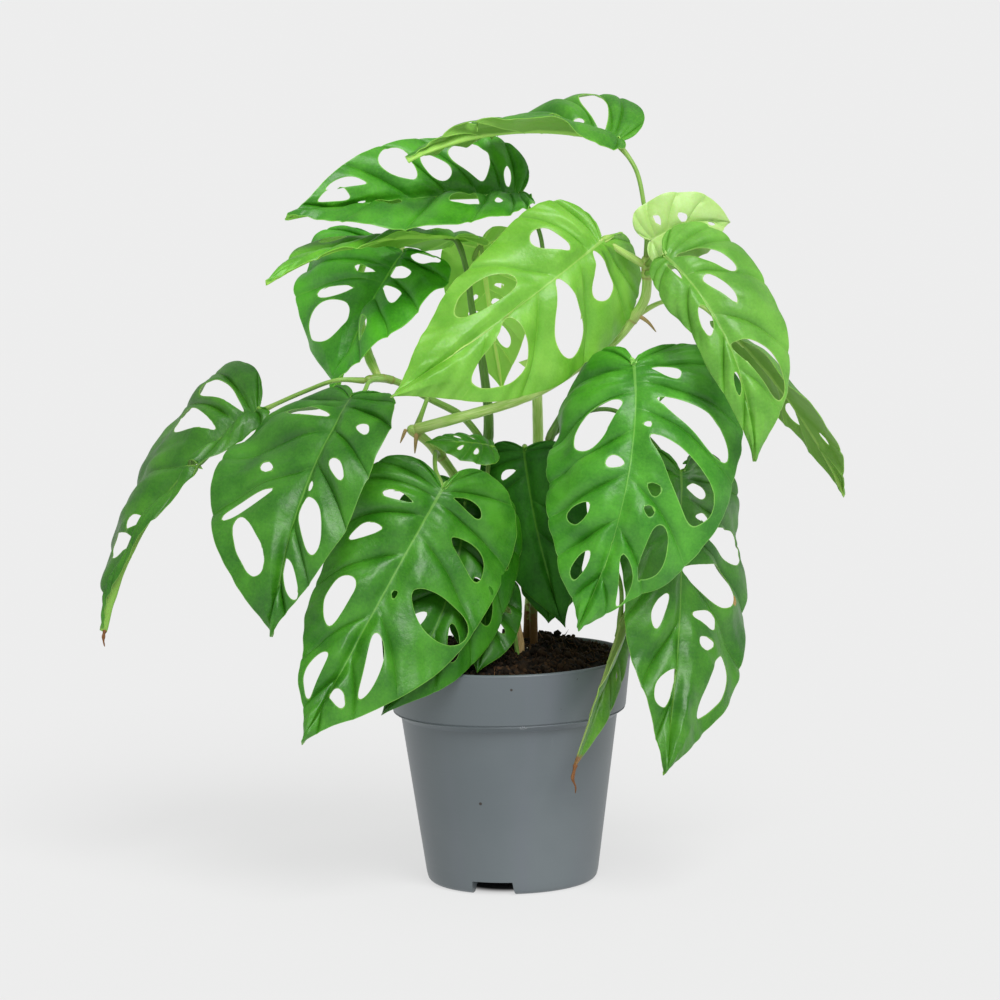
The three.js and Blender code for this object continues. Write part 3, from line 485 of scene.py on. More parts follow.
def closed_rings(rings: np.ndarray, low: Sequence, high: Sequence) -> tuple[np.ndarray, np.ndarray]:
    """A skin over rings of points, with both ends drawn in to a middle point.

    Args:
        rings: the rings' points, from the low end to the high one.
        low: the middle point of the low end.
        high: the middle point of the high end.

    Returns:
        Its points, with the two middle ones last, and its triangles.
    """
    count, sides = rings.shape[:2]
    middle = count * sides
    j = np.arange(sides)
    after, last = (j + 1) % sides, middle - sides
    ends = [
        np.stack([np.full(sides, middle), after, j], 1),
        np.stack([np.full(sides, middle + 1), last + j, last + after], 1),
    ]
    faces = np.vstack([grid_faces(count, sides, closed=True)[:, ::-1], *ends])
    return np.vstack([rings.reshape(-1, 3), [low, high]]), faces


@dataclass
class Surface:
    """Triangles with a value of each field at every point; lengths are in millimetres."""

    points: np.ndarray
    faces: np.ndarray
    fields: dict[str, np.ndarray] = field(default_factory=dict)
    finish: int = 0


def make_piece(
    name: str,
    parts: Sequence[Surface],
    materials: Sequence[bpy.types.Material],
    sharp: float = 55.0,
) -> bpy.types.Object:
    """Puts surfaces into one object, in metres.

    Args:
        name: the object's name.
        parts: its surfaces; each one's finish is a number in materials.
        materials: its materials.
        sharp: edges that turn by more than this many degrees stay sharp.

    Returns:
        The new object.
    """
    starts = np.cumsum([0] + [len(part.points) for part in parts])
    points = np.concatenate([part.points for part in parts]) * MM
    faces = np.concatenate([part.faces + start for part, start in zip(parts, starts)])
    finishes = np.concatenate([np.full(len(part.faces), part.finish) for part in parts])
    mesh = bpy.data.meshes.new(name)
    mesh.vertices.add(len(points))
    mesh.vertices.foreach_set("co", points.ravel())
    mesh.loops.add(faces.size)
    mesh.loops.foreach_set("vertex_index", faces.astype(np.int32).ravel())
    mesh.polygons.add(len(faces))
    mesh.polygons.foreach_set("loop_start", np.arange(0, faces.size, 3, dtype=np.int32))
    mesh.polygons.foreach_set("material_index", finishes.astype(np.int32))
    mesh.update(calc_edges=True)
    for key in sorted({key for part in parts for key in part.fields}):
        values = [part.fields.get(key, np.zeros(len(part.points))) for part in parts]
        layer = mesh.attributes.new(key, "FLOAT", "POINT")
        layer.data.foreach_set("value", np.concatenate(values).astype(np.float32))
    if all("u" in part.fields for part in parts):
        uv = np.stack([np.concatenate([part.fields[key] for part in parts]) for key in "uv"], 1)
        mesh.uv_layers.new(name="grain").data.foreach_set("uv", uv[faces.ravel()].ravel())
    mesh.validate()
    mesh.shade_smooth()
    mesh.set_sharp_from_angle(angle=math.radians(sharp))
    for material in materials:
        mesh.materials.append(material)
    piece = bpy.data.objects.new(name, mesh)
    bpy.context.scene.collection.objects.link(piece)
    return piece


def across_path(path: np.ndarray) -> tuple[np.ndarray, np.ndarray]:
    """Two directions square to a path and to each other at every point.

    The first keeps closest to the direction that the path as a whole turns about.

    Args:
        path: the path's points.

    Returns:
        Both sets of directions.
    """
    tangent = unit(np.gradient(path, axis=0))
    _, axes = np.linalg.eigh(tangent.T @ tangent)
    first = unit(axes[:, 0] - tangent * (tangent @ axes[:, 0])[:, None])
    return first, np.cross(tangent, first)


def lengths_along(path: np.ndarray) -> np.ndarray:
    """How far along the path each of its points lies."""
    return np.concatenate([[0], np.cumsum(np.linalg.norm(np.diff(path, axis=0), axis=1))])


def bar(path: np.ndarray, radii: np.ndarray, sides: int, finish: int, **fields: Any) -> Surface:
    """A round bar carried along a path, rounded off and closed at both ends.

    A ring is the path's point plus its radius times (cos, sin) in the two directions across the
    path. Within a radius of an end, the rings shrink as on a ball.

    Args:
        path: the middle line.
        radii: the radius at each point of it, or at each point and side.
        sides: corners of a ring.
        finish: the number of its material.
        **fields: values at each point of the path.

    Returns:
        The bar's surface, with u around it and v along it.
    """
    first, second = across_path(path)
    passed = lengths_along(path)
    radii = np.broadcast_to(radii if np.ndim(radii) == 2 else radii[:, None], (len(path), sides))
    near = np.minimum(passed, passed[-1] - passed) / radii.mean(axis=1)
    cap = np.sqrt(np.maximum(1 - (1 - np.minimum(near, 1)) ** 2, BAR_END))[:, None]
    turn = np.linspace(0, 2 * np.pi, sides, endpoint=False)
    angle = turn[:, None]
    out = first[:, None] * np.cos(angle) + second[:, None] * np.sin(angle)
    rings = path[:, None] + (radii * cap)[..., None] * out
    points, faces = closed_rings(rings, path[0], path[-1])

    def spread(values: np.ndarray) -> np.ndarray:
        """Values of the path's points, given to all corners of their rings and to the ends."""
        return np.concatenate([np.repeat(values, sides), values[[0, -1]]])

    around = np.concatenate([np.tile(np.abs(turn / np.pi - 1), len(path)), [0, 0]])
    carried = {key: spread(np.broadcast_to(value, len(path))) for key, value in fields.items()}
    carried |= {"u": around * BAR_GIRTH_UV, "v": spread(passed) * UV_PER_MM}
    return Surface(points, faces, carried, finish)


def lattice_noise(x: np.ndarray, y: np.ndarray, seed: int) -> np.ndarray:
    """Smooth noise from 0 to 1: random values at whole numbers, blended in between.

    Between two whole numbers the share f counts as f^2 (3 - 2 f), so that the slope is level
    at both. The pattern repeats after LATTICE numbers.

    Args:
        x: places on the lattice, one way.
        y: places on it the other way.
        seed: the seed of its values.

    Returns:
        The noise at those places.
    """
    values = np.random.default_rng(seed).random((LATTICE, LATTICE))
    i, j = np.floor(x).astype(int), np.floor(y).astype(int)
    f, g = x - i, y - j
    f, g = f * f * (3 - 2 * f), g * g * (3 - 2 * g)
    i, j, k, m = i % LATTICE, j % LATTICE, (i + 1) % LATTICE, (j + 1) % LATTICE
    low = values[i, j] * (1 - f) + values[k, j] * f
    high = values[i, m] * (1 - f) + values[k, m] * f
    return low * (1 - g) + high * g


# ------------------------------------------------------------------ shader expressions


def linear(*srgb: int) -> tuple[float, float, float, float]:
    """A colour given as 0 to 255 on the screen, as the light that it stands for.

    Args:
        *srgb: red, green and blue from 0 to 255.

    Returns:
        Red, green, blue and a full alpha from 0 to 1.
    """
    share = np.array(srgb[:3]) / 255
    light = np.where(share <= 0.04045, share / 12.92, ((share + 0.055) / 1.055) ** 2.4)
    return (*(float(value) for value in light), 1.0)


@dataclass(frozen=True)
class Value:
    """A socket that carries numbers; Python's operators on it add Math nodes."""

    shader: "Shader"
    socket: bpy.types.NodeSocket

    def math(self, operation: str, first: Any, second: Any) -> "Value":
        """The result of one Math node."""
        made = self.shader.node("ShaderNodeMath", {"operation": operation}, {0: first, 1: second})
        return Value(self.shader, made)

    def __add__(self, other: Any) -> "Value":
        """This value plus another."""
        return self.math("ADD", self, other)

    def __radd__(self, other: Any) -> "Value":
        """A number plus this value."""
        return self.math("ADD", other, self)

    def __sub__(self, other: Any) -> "Value":
        """This value less another."""
        return self.math("SUBTRACT", self, other)

    def __rsub__(self, other: Any) -> "Value":
        """A number less this value."""
        return self.math("SUBTRACT", other, self)

    def __mul__(self, other: Any) -> "Value":
        """This value times another."""
        return self.math("MULTIPLY", self, other)

    def __rmul__(self, other: Any) -> "Value":
        """A number times this value."""
        return self.math("MULTIPLY", other, self)

    def step(self, low: Any, high: Any) -> "Value":
        """0 at low and 1 at high, with a smooth step between; high may be the lower one.

        Args:
            low: the value that gives 0.
            high: the value that gives 1.

        Returns:
            The stepped value.
        """
        settings = {"interpolation_type": "SMOOTHSTEP"}
        sockets = {"Value": self, "From Min": low, "From Max": high}
        return Value(self.shader, self.shader.node("ShaderNodeMapRange", settings, sockets))


class Shader:
    """One material, and the nodes that it is made of."""

    def __init__(self, name: str) -> None:
        """Starts a material with its Principled shader.

        Args:
            name: the material's name.
        """
        self.material = bpy.data.materials.new(name)
        self.material.use_nodes = True
        self.tree = self.material.node_tree
        self.surface = self.tree.nodes["Principled BSDF"]

    def put(self, socket: bpy.types.NodeSocket, value: Any) -> None:
        """Gives an input socket a link or a constant.

        Args:
            socket: the input.
            value: a value, an output socket or a constant.
        """
        source = value.socket if isinstance(value, Value) else value
        if isinstance(source, bpy.types.NodeSocket):
            self.tree.links.new(source, socket)
        else:
            socket.default_value = source

    def node(self, kind: str, settings: dict, sockets: dict, output: Any = 0) -> Any:
        """Adds one node.

        Args:
            kind: the node's type.
            settings: its own settings, which are set first.
            sockets: values or links of its inputs, by name or number.
            output: the output wanted, by name or number.

        Returns:
            That output socket.
        """
        made = self.tree.nodes.new(kind)
        for key, value in settings.items():
            setattr(made, key, value)
        for key, value in sockets.items():
            self.put(made.inputs[key], value)
        return made.outputs[output]

    def mix(self, first: Any, second: Any, factor: Any) -> Any:
        """Blends two colours: the first at factor 0, the second at 1."""
        sockets = {0: factor, 6: first, 7: second}
        return self.node("ShaderNodeMix", {"data_type": "RGBA"}, sockets, 2)

    def attribute(self, name: str) -> Value:
        """A field of the mesh."""
        return Value(self, self.node("ShaderNodeAttribute", {"attribute_name": name}, {}, "Fac"))

    def grain(self, stretch: tuple[float, float, float]) -> Any:
        """The piece's own unwrapped coordinates, stretched."""
        flat = self.node("ShaderNodeUVMap", {"uv_map": "grain"}, {})
        return self.node("ShaderNodeMapping", {}, {"Vector": flat, "Scale": stretch})

    def place(self, stretch: tuple[float, float, float] = (1, 1, 1)) -> Any:
        """Object coordinates, stretched."""
        spot = self.node("ShaderNodeTexCoord", {}, {}, "Object")
        return self.node("ShaderNodeMapping", {}, {"Vector": spot, "Scale": stretch})

    def noise(self, where: Any, scale: float, detail: float = 3.0, rough: float = 0.5) -> Value:
        """Cloudy noise from 0 to 1."""
        sockets = {"Vector": where, "Scale": scale, "Detail": detail, "Roughness": rough}
        return Value(self, self.node("ShaderNodeTexNoise", {}, sockets, "Fac"))

    def net(self, where: Any, scale: float) -> Value:
        """Distance to the nearest line of an irregular net.

        Args:
            where: the coordinates.
            scale: how many cells fit in one unit.

        Returns:
            The distance.
        """
        settings = {"feature": "DISTANCE_TO_EDGE"}
        sockets = {"Vector": where, "Scale": scale}
        return Value(self, self.node("ShaderNodeTexVoronoi", settings, sockets, "Distance"))

    def away(self, x: float, y: float, z: float) -> Value:
        """The distance from a place given in millimetres.

        Args:
            x, y, z: the place.

        Returns:
            The distance in metres.
        """
        spot = self.node("ShaderNodeTexCoord", {}, {}, "Object")
        settings, sockets = {"operation": "DISTANCE"}, {0: spot, 1: (x * MM, y * MM, z * MM)}
        return Value(self, self.node("ShaderNodeVectorMath", settings, sockets, "Value"))

    def patch(self, x: float, y: float, z: float, radius: float) -> Value:
        """1 near a place given in millimetres, and 0 from this radius on."""
        return self.away(x, y, z).step(radius * MM, radius * PATCH_CORE * MM)

    def bump(self, height: Value, depth_mm: float, under: Any = None) -> Any:
        """A normal for a relief of this depth, on top of another normal.

        Args:
            height: the relief, from 0 to 1.
            depth_mm: how deep it is.
            under: the normal below it, if any.

        Returns:
            The normal.
        """
        sockets = {"Height": height, "Distance": depth_mm * MM, "Strength": 1.0}
        if under is not None:
            sockets["Normal"] = under
        return self.node("ShaderNodeBump", {}, sockets)

    def finish(self, **sockets: Any) -> bpy.types.Material:
        """Sets the shader's own sockets, whose names are given with underscores.

        Args:
            **sockets: constants or links.

        Returns:
            The finished material.
        """
        for key, value in sockets.items():
            self.put(self.surface.inputs[key.replace("_", " ")], value)
        return self.material


# ------------------------------------------------------------------ finishes


@dataclass(frozen=True)
class BladeFinish:
    """Leaf skin: glossy green above with pale veins, duller and paler below.

    The mesh gives it distances to the rib, a side vein and an edge, in millimetres.
    """

    deep: tuple
    bright: tuple
    vein: tuple
    under: tuple
    rough: float = 0.36
    shine: float = 0.52
    glow: float = 0.15
    relief: float = 0.22
    spot: tuple | None = None
    # Multipliers of the colours' light: painted light and shade for the leaf's place in the light,
    # and its own tint.
    light_and_tint: tuple = (1.0, 1.0, 1.0)

    def lit_and_tinted(self, red: float, green: float, blue: float) -> "BladeFinish":
        """The same skin with the light of its colours multiplied, channel by channel: painted light
        where above 1, painted shade where below 1, and the leaf's own tint.
        """
        return replace(self, light_and_tint=(red, green, blue))

    def paint(self, colour: tuple) -> tuple:
        """One of the skin's colours as light, with the painted light, shade and tint on it."""
        return (*(value * share for value, share in zip(linear(*colour), self.light_and_tint)), 1.0)

    def dress(self, name: str) -> bpy.types.Material:
        """Makes the skin's material.

        Args:
            name: the material's name.

        Returns:
            The material.
        """
        s = Shader(name)
        colours = (self.deep, self.bright, self.vein, self.under)
        deep, bright, pale, under = (self.paint(colour) for colour in colours)
        grain = s.grain((1 / UV_PER_MM,) * 3)
        names = ("edge", "rib", "vein", "upper", "along")
        edge, rib, vein, upper, along = (s.attribute(key) for key in names)
        clouds, specks = s.noise(grain, 0.05, 2.0), s.noise(grain, 0.7, 3.0, 0.6)
        fine = s.net(grain, 0.42).step(0.07, 0.0)
        lateral = vein.step(0.5, 0.1) * edge.step(0.3, 2.5)
        midrib = (rib - (1 - along) * 0.55).step(0.35, 0.0)
        keel = (rib - (1 - along) * 1.1).step(0.5, 0.0)
        skin = s.mix(deep, bright, (clouds * 0.75 + specks * 0.25).step(0.3, 0.7))
        # Painted shade: darker towards each side vein, in its trough.
        skin = s.mix(skin, deep, vein.step(3.5, 0.3) * 0.3)
        skin = s.mix(skin, bright, fine * 0.12)
        skin = s.mix(skin, pale, lateral * 0.1)
        skin = s.mix(skin, pale, midrib * 0.36)
        below = s.mix(under, bright, clouds * 0.4)
        below = s.mix(below, pale, (lateral * 0.45 + fine * 0.12).step(0, 1))
        below = s.mix(below, pale, keel * 0.8)
        colour = s.mix(below, skin, upper.step(0.45, 0.55))
        # Paler along every margin and hole rim: partly the margin's own paler green, partly a
        # painted highlight on the rims.
        colour = s.mix(colour, pale, edge.step(0.5, 0.1) * 0.5)
        if self.spot is not None:
            colour = self.spotted(s, colour)
        grit = specks * 0.3 + (1 - fine) * 0.1 + s.noise(grain, 0.3, 2.0)
        return s.finish(
            Base_Color=colour,
            Roughness=clouds * 0.12 + (1 - upper) * 0.15 + self.rough,
            Normal=s.bump(grit, self.relief),
            Subsurface_Weight=self.glow,
            Subsurface_Radius=(0.35, 1.0, 0.1),
            Subsurface_Scale=MM,
            Specular_IOR_Level=self.shine,
        )

    def spotted(self, s: Shader, colour: Any) -> Any:
        """Adds the withered patch: a place, a radius and a colour; its rim is ragged.

        Args:
            s: the skin's shader.
            colour: the colour so far.

        Returns:
            The colour with the patch.
        """
        x, y, z, radius, tint = self.spot
        ragged = s.noise(s.place(), 260.0, 2.0) * (radius * 0.9 * MM) - radius * 0.45 * MM
        mask = (s.away(x, y, z) + ragged).step(radius * MM, radius * 0.55 * MM)
        return s.mix(colour, linear(*tint), mask)


@dataclass(frozen=True)
class StalkFinish:
    """Green stalk or stem: streaked along its length, browner at its knots."""

    green: tuple = (112, 164, 58)
    pale: tuple = (156, 196, 96)
    knot: tuple = (140, 134, 68)
    wood: tuple = (118, 84, 42)
    rough: float = 0.42
    relief: float = 0.25

    def dress(self, name: str) -> bpy.types.Material:
        """Makes the stalk's material; the knot and old fields say where it browns.

        Args:
            name: the material's name.

        Returns:
            The material.
        """
        s = Shader(name)
        streaks = s.noise(s.grain((60, 4, 1)), 3.0, 4.0)
        clouds = s.noise(s.place(), 60.0, 2.0)
        colour = s.mix(linear(*self.green), linear(*self.pale), streaks.step(0.3, 0.7))
        colour = s.mix(colour, linear(*self.pale), clouds.step(0.5, 0.75) * 0.5)
        flecks = s.noise(s.place(), 500.0, 3.0)
        knot = s.attribute("knot") * (flecks.step(0.25, 0.6) * 0.6 + 0.4)
        colour = s.mix(colour, linear(*self.knot), knot)
        old = (s.attribute("old") + (flecks - 0.5) * 0.9).step(0.35, 0.75)
        colour = s.mix(colour, linear(*self.wood), old)
        return s.finish(
            Base_Color=colour,
            Roughness=knot * 0.15 + old * 0.35 + self.rough,
            Normal=s.bump(streaks * 0.6 + clouds * 0.4, self.relief),
            Subsurface_Weight=0.1,
            Subsurface_Radius=(0.4, 1.0, 0.2),
            Subsurface_Scale=MM,
        )


@dataclass(frozen=True)
class BarkFinish:
    """Dry brown skin of the old stump and of the roots at the knots."""

    dark: tuple = (74, 44, 22)
    light: tuple = (176, 116, 62)
    rough: float = 0.88
    relief: float = 0.6

    def dress(self, name: str) -> bpy.types.Material:
        """Makes the bark's material.

        Args:
            name: the material's name.

        Returns:
            The material.
        """
        s = Shader(name)
        fibres = s.noise(s.grain((90, 6, 1)), 4.0, 5.0, 0.65)
        flakes = s.noise(s.place(), 420.0, 3.0)
        colour = s.mix(linear(*self.dark), linear(*self.light), fibres.step(0.3, 0.7))
        colour = s.mix(colour, linear(*self.dark), flakes.step(0.55, 0.8) * 0.6)
        normal = s.bump(fibres * 0.7 + flakes * 0.3, self.relief)
        return s.finish(Base_Color=colour, Roughness=self.rough, Normal=normal)


@dataclass(frozen=True)
class SoilFinish:
    """Moist peat: nearly black brown, with lighter crumbs and fibres."""

    dark: tuple = (11, 8, 5)
    light: tuple = (43, 32, 17)
    fibre: tuple = (112, 80, 50)
    rough: float = 0.92
    shine: float = 0.25
    relief: tuple = (1.2, 0.5)

    def dress(self, name: str) -> bpy.types.Material:
        """Makes the soil's material; the tint field picks crumbs and fibres out.

        Args:
            name: the material's name.

        Returns:
            The material.
        """
        s = Shader(name)
        lumps = s.noise(s.place(), 210.0, 5.0, 0.6)
        fine = s.noise(s.place(), 1400.0, 4.0, 0.7)
        # The colour follows the coarse bump: lighter on its raised lumps and darker in its hollows,
        # partly the peat's own mottling and partly painted shade.
        colour = s.mix(linear(*self.dark), linear(*self.light), lumps.step(0.42, 0.75))
        colour = s.mix(colour, linear(*self.fibre), s.attribute("tint"))
        # Painted shade: darker in the hollows of the fine bump.
        colour = s.mix(colour, linear(*self.dark), fine.step(0.5, 0.3) * 0.6)
        coarse_depth, fine_depth = self.relief
        return s.finish(
            Base_Color=colour,
            Roughness=self.rough,
            Normal=s.bump(fine, fine_depth, s.bump(lumps, coarse_depth)),
            Specular_IOR_Level=self.shine,
        )


@dataclass(frozen=True)
class PotFinish:
    """Satin grey moulded plastic, with a fine texture, faint scuffs and grains of soil."""

    grey: tuple = (98, 107, 111)
    worn: tuple = (120, 128, 131)
    cool: tuple = (106, 110, 120)
    dirt: tuple = (52, 44, 38)
    scrawled: tuple = (0.5, 0.52, 0.53, 1)
    specks: tuple = ((1.2, -59.4, 104.3, 0.8), (-14.9, -45.7, 46.5, 0.95))
    scratch: tuple = (6.6, -56.7, 84.3, 2.6)
    rough: float = 0.37
    relief: tuple = (0.25, 0.03)

    def dress(self, name: str) -> bpy.types.Material:
        """Makes the plastic's material; specks and the scratch are places with a radius.

        Args:
            name: the material's name.

        Returns:
            The material.
        """
        s = Shader(name)
        where = s.place()
        worn, cool, dirt = linear(*self.worn), linear(*self.cool), linear(*self.dirt)
        clouds = s.noise(where, 14.0, 3.0)
        streaks = s.noise(s.place((1, 1, 0.06)), 46.0, 3.0)
        rings = s.noise(s.place((1, 1, 26)), 20.0, 2.0)
        scuffs = s.noise(s.place((3, 3, 1)), 46.0, 4.0, 0.7).step(0.66, 0.78)
        grains = s.noise(where, 620.0, 2.0).step(0.77, 0.8) * s.noise(where, 60.0).step(0.5, 0.62)
        colour = s.mix(linear(*self.grey), worn, clouds.step(0.35, 0.75) * 0.4)
        colour = s.mix(colour, cool, streaks.step(0.45, 0.7) * 0.35)
        colour = s.mix(colour, worn, rings.step(0.55, 0.8) * 0.05)
        colour = s.mix(colour, worn, scuffs * 0.25)
        colour = s.mix(colour, dirt, grains * 0.8)
        for speck in self.specks:
            colour = s.mix(colour, dirt, s.patch(*speck))
        scrawl = s.noise(where, 700.0, 1.0) - 0.5
        line = (scrawl * scrawl).step(0.0012, 0.0003) * s.patch(*self.scratch)
        colour = s.mix(colour, self.scrawled, line * 0.6)
        broad, close = self.relief
        return s.finish(
            Base_Color=colour,
            Roughness=clouds * 0.1 + scuffs * 0.08 + grains * 0.2 + self.rough,
            Normal=s.bump(s.noise(where, 2600.0, 2.0), close, s.bump(rings * 0.2 + clouds, broad)),
        )


@dataclass(frozen=True)
class FloorFinish:
    """Plain pale paper that glows evenly, with its glow turned off below the pot as painted shade.
    """

    pale: tuple = (122, 122, 122)
    shine: float = 0.65
    painted_shade_within: tuple = (25.0, 36.0)

    def dress(self, name: str) -> bpy.types.Material:
        """Makes the floor's material.

        Args:
            name: the material's name.

        Returns:
            The material.
        """
        s = Shader(name)
        dark, lit = self.painted_shade_within
        # Painted shade below the pot: no glow within the first radius, full glow from the second.
        glow = s.away(0, 0, 0).step(dark * MM, lit * MM)
        return s.finish(
            Base_Color=linear(*self.pale),
            Roughness=1.0,
            Specular_IOR_Level=0.0,
            Emission_Color=s.mix((0, 0, 0, 1), (1, 1, 1, 1), glow),
            Emission_Strength=self.shine,
        )


# ------------------------------------------------------------------ pot


@dataclass(frozen=True)
class Pot:
    """A moulded 12 cm nursery pot: collar, tapered body, notched foot and drain holes.

    A pair is a radius and a height. The recess below the floor is given as its inner and outer
    radius, its depth and the width of its slopes; a notch as its width and height, how many
    there are and the first one's place in degrees; a drain hole as its radius, the ring that it
    lies on and how many there are.
    """

    rim: float = 60.0
    height: float = 111.5
    collar_foot: tuple = (57.2, 85.8)
    body_top: tuple = (53.0, 82.5)
    foot: float = 42.0
    wall: float = 1.6
    floor_top: float = 6.0
    recess: tuple = (12.0, 34.5, 4.4, 3.0)
    notch: tuple = (23.2, 6.6, 3, -104.0)
    notch_span: tuple = (-16.0, 5.0)
    notch_draft: float = 0.07
    drain: tuple = (4.0, 23.0, 6)
    drain_sides: int = 32
    sides: int = 192
    sharp: float = 40.0
    finish: PotFinish = PotFinish()

    def corners(self) -> list[tuple[float, float, float]]:
        """The profile's corners: radius, height and how round each one is.

        They run from the middle of the underside out and up to the rim, and back down inside.
        """
        inner, outer, depth, slope = self.recess
        (collar, collar_z), (body, body_z) = self.collar_foot, self.body_top
        foot, rim, top, wall, floor = self.foot, self.rim, self.height, self.wall, self.floor_top
        under = [
            (0, 0, 0), (inner, 0, 0.5), (inner + slope, depth, 0.5), (outer - slope, depth, 0.5),
            (outer, 0, 0.5), (foot - 3.5, 0, 1.5), (foot - 0.9, 1.0, 1.6), (foot + 0.1, 4, 2),
        ]
        groove = [
            (body, body_z, 0.35), (collar - 0.3, collar_z - 0.5, 0.15),
            (collar - 0.7, collar_z - 0.1, 0.12), (collar - 0.7, collar_z + 0.25, 0.12),
            (collar + 0.05, collar_z + 0.7, 0.2),
        ]
        edge = [
            (rim - 0.1, top - 1.6, 0.5), (rim, top - 0.75, 0.45), (rim - 0.7, top, 0.5),
            (rim - 0.2 - wall, top, 0.5), (rim - 0.6 - wall, top - 1.4, 0.6),
        ]
        inside = [
            (collar - wall, collar_z + 1, 0.8), (body - wall, body_z + 1, 0.8),
            (foot - wall, floor + 1, 1), (foot - wall - 1, floor, 1),
            (inner + slope + 1, floor, 0.5), (inner, wall, 0.5), (0, wall, 0),
        ]
        return [*under, *groove, *edge, *inside]

    def profile(self) -> np.ndarray:
        """Radii and heights along the profile, each corner rounded by a short arc.

        An arc is the curve a(1 - t)^2 + 2 c t(1 - t) + b t^2, from a on one side of the corner c
        to b on its other side.

        Returns:
            The points, from one pole to the other.
        """
        corners = np.array(self.corners(), float)
        points, sizes = corners[:, :2], corners[:, 2:]
        back = unit(points[:-2] - points[1:-1]) * sizes[1:-1]
        ahead = unit(points[2:] - points[1:-1]) * sizes[1:-1]
        t = np.linspace(0, 1, 5)[None, :, None]
        c = points[1:-1, None]
        a, b = c + back[:, None], c + ahead[:, None]
        arcs = a * (1 - t) ** 2 + 2 * c * t * (1 - t) + b * t**2
        return np.vstack([points[:1], arcs.reshape(-1, 2), points[-1:]])

    def mesh(self) -> Surface:
        """The profile turned about the pot's axis: (r cos a, r sin a, z).

        Returns:
            The uncut pot.
        """
        profile = self.profile()
        radii, heights = profile[1:-1].T
        x, y = ring_places(radii, self.sides)
        z = np.repeat(heights[:, None], self.sides, axis=1)
        poles = [(0, 0, end) for end in profile[[0, -1], 1]]
        return Surface(*closed_rings(np.stack([x, y, z], -1), *poles))

    def notches(self) -> list[Surface]:
        """The blocks that cut the notches, a little narrower at the top.

        Returns:
            One block for each notch.
        """
        width, height, count, first = self.notch
        reach = [self.foot + end for end in self.notch_span]
        x, y, z = np.meshgrid(reach, [-width / 2, width / 2], [-height, height])
        drawn = y * (1 - self.notch_draft * (1 + z / height))
        block = np.stack([x, drawn, z], -1).reshape(-1, 3)
        turns = np.radians(first + 360 / count * np.arange(count))
        return [convex(block @ turned(turn)) for turn in turns]

    def drains(self) -> list[Surface]:
        """The round bars that cut the drain holes.

        Returns:
            One bar for each hole.
        """
        radius, ring, count = self.drain
        angles = np.linspace(0, 2 * np.pi, self.drain_sides, endpoint=False)
        circle = radius * np.column_stack([np.cos(angles), np.sin(angles)])
        made = []
        for turn in 2 * np.pi * np.arange(count) / count:
            spots = ring * np.array([np.cos(turn), np.sin(turn)]) + circle
            ends = [np.insert(spots, 2, z, axis=1) for z in (-self.floor_top, 2 * self.floor_top)]
            made.append(convex(np.vstack(ends)))
        return made

    def build(self) -> bpy.types.Object:
        """Makes the pot, cuts it and gives it its plastic.

        Returns:
            The piece.
        """
        piece = make_piece("pot_moulded", [self.mesh()], [], self.sharp)
        for cutter in [*self.notches(), *self.drains()]:
            cut(piece, cutter)
        piece.data.set_sharp_from_angle(angle=math.radians(self.sharp))
        piece.data.materials.clear()
        piece.data.materials.append(self.finish.dress("satin_grey_plastic"))
        return placed(piece, "pot")


def turned(angle: float) -> np.ndarray:
    """The matrix that turns rows of points about the upright axis."""
    cos, sin = np.cos(angle), np.sin(angle)
    return np.array([[cos, sin, 0], [-sin, cos, 0], [0, 0, 1]])


def convex(points: np.ndarray) -> Surface:
    """The convex body around some points.

    Args:
        points: at least four that lie in no plane.

    Returns:
        Its surface.
    """
    sketch = bmesh.new()
    for point in points:
        sketch.verts.new(point)
    bmesh.ops.convex_hull(sketch, input=sketch.verts[:])
    bmesh.ops.recalc_face_normals(sketch, faces=sketch.faces[:])
    sketch.verts.index_update()
    corners = np.array([vertex.co for vertex in sketch.verts])
    faces = np.array([[vertex.index for vertex in face.verts] for face in sketch.faces])
    sketch.free()
    return Surface(corners, faces)


def cut(piece: bpy.types.Object, cutter: Surface) -> None:
    """Takes the cutter's body out of the piece.

    Args:
        piece: the piece, whose mesh changes.
        cutter: a closed surface.
    """
    tool = make_piece("cutter", [cutter], [])
    modifier = piece.modifiers.new("cut", "BOOLEAN")
    modifier.operation, modifier.object, modifier.solver = "DIFFERENCE", tool, "MANIFOLD"
    shaped = piece.evaluated_get(bpy.context.evaluated_depsgraph_get())
    mesh = bpy.data.meshes.new_from_object(shaped)
    piece.modifiers.clear()
    piece.data = mesh
    bpy.data.objects.remove(tool)


def placed(piece: bpy.types.Object, node: str) -> bpy.types.Object:
    """Puts the piece on the root body in place of its solid, and hides the solid.

    Args:
        piece: the piece.
        node: its solid's name.

    Returns:
        The piece.
    """
    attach(piece, "root")
    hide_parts(node)
    return piece


# ------------------------------------------------------------------ soil


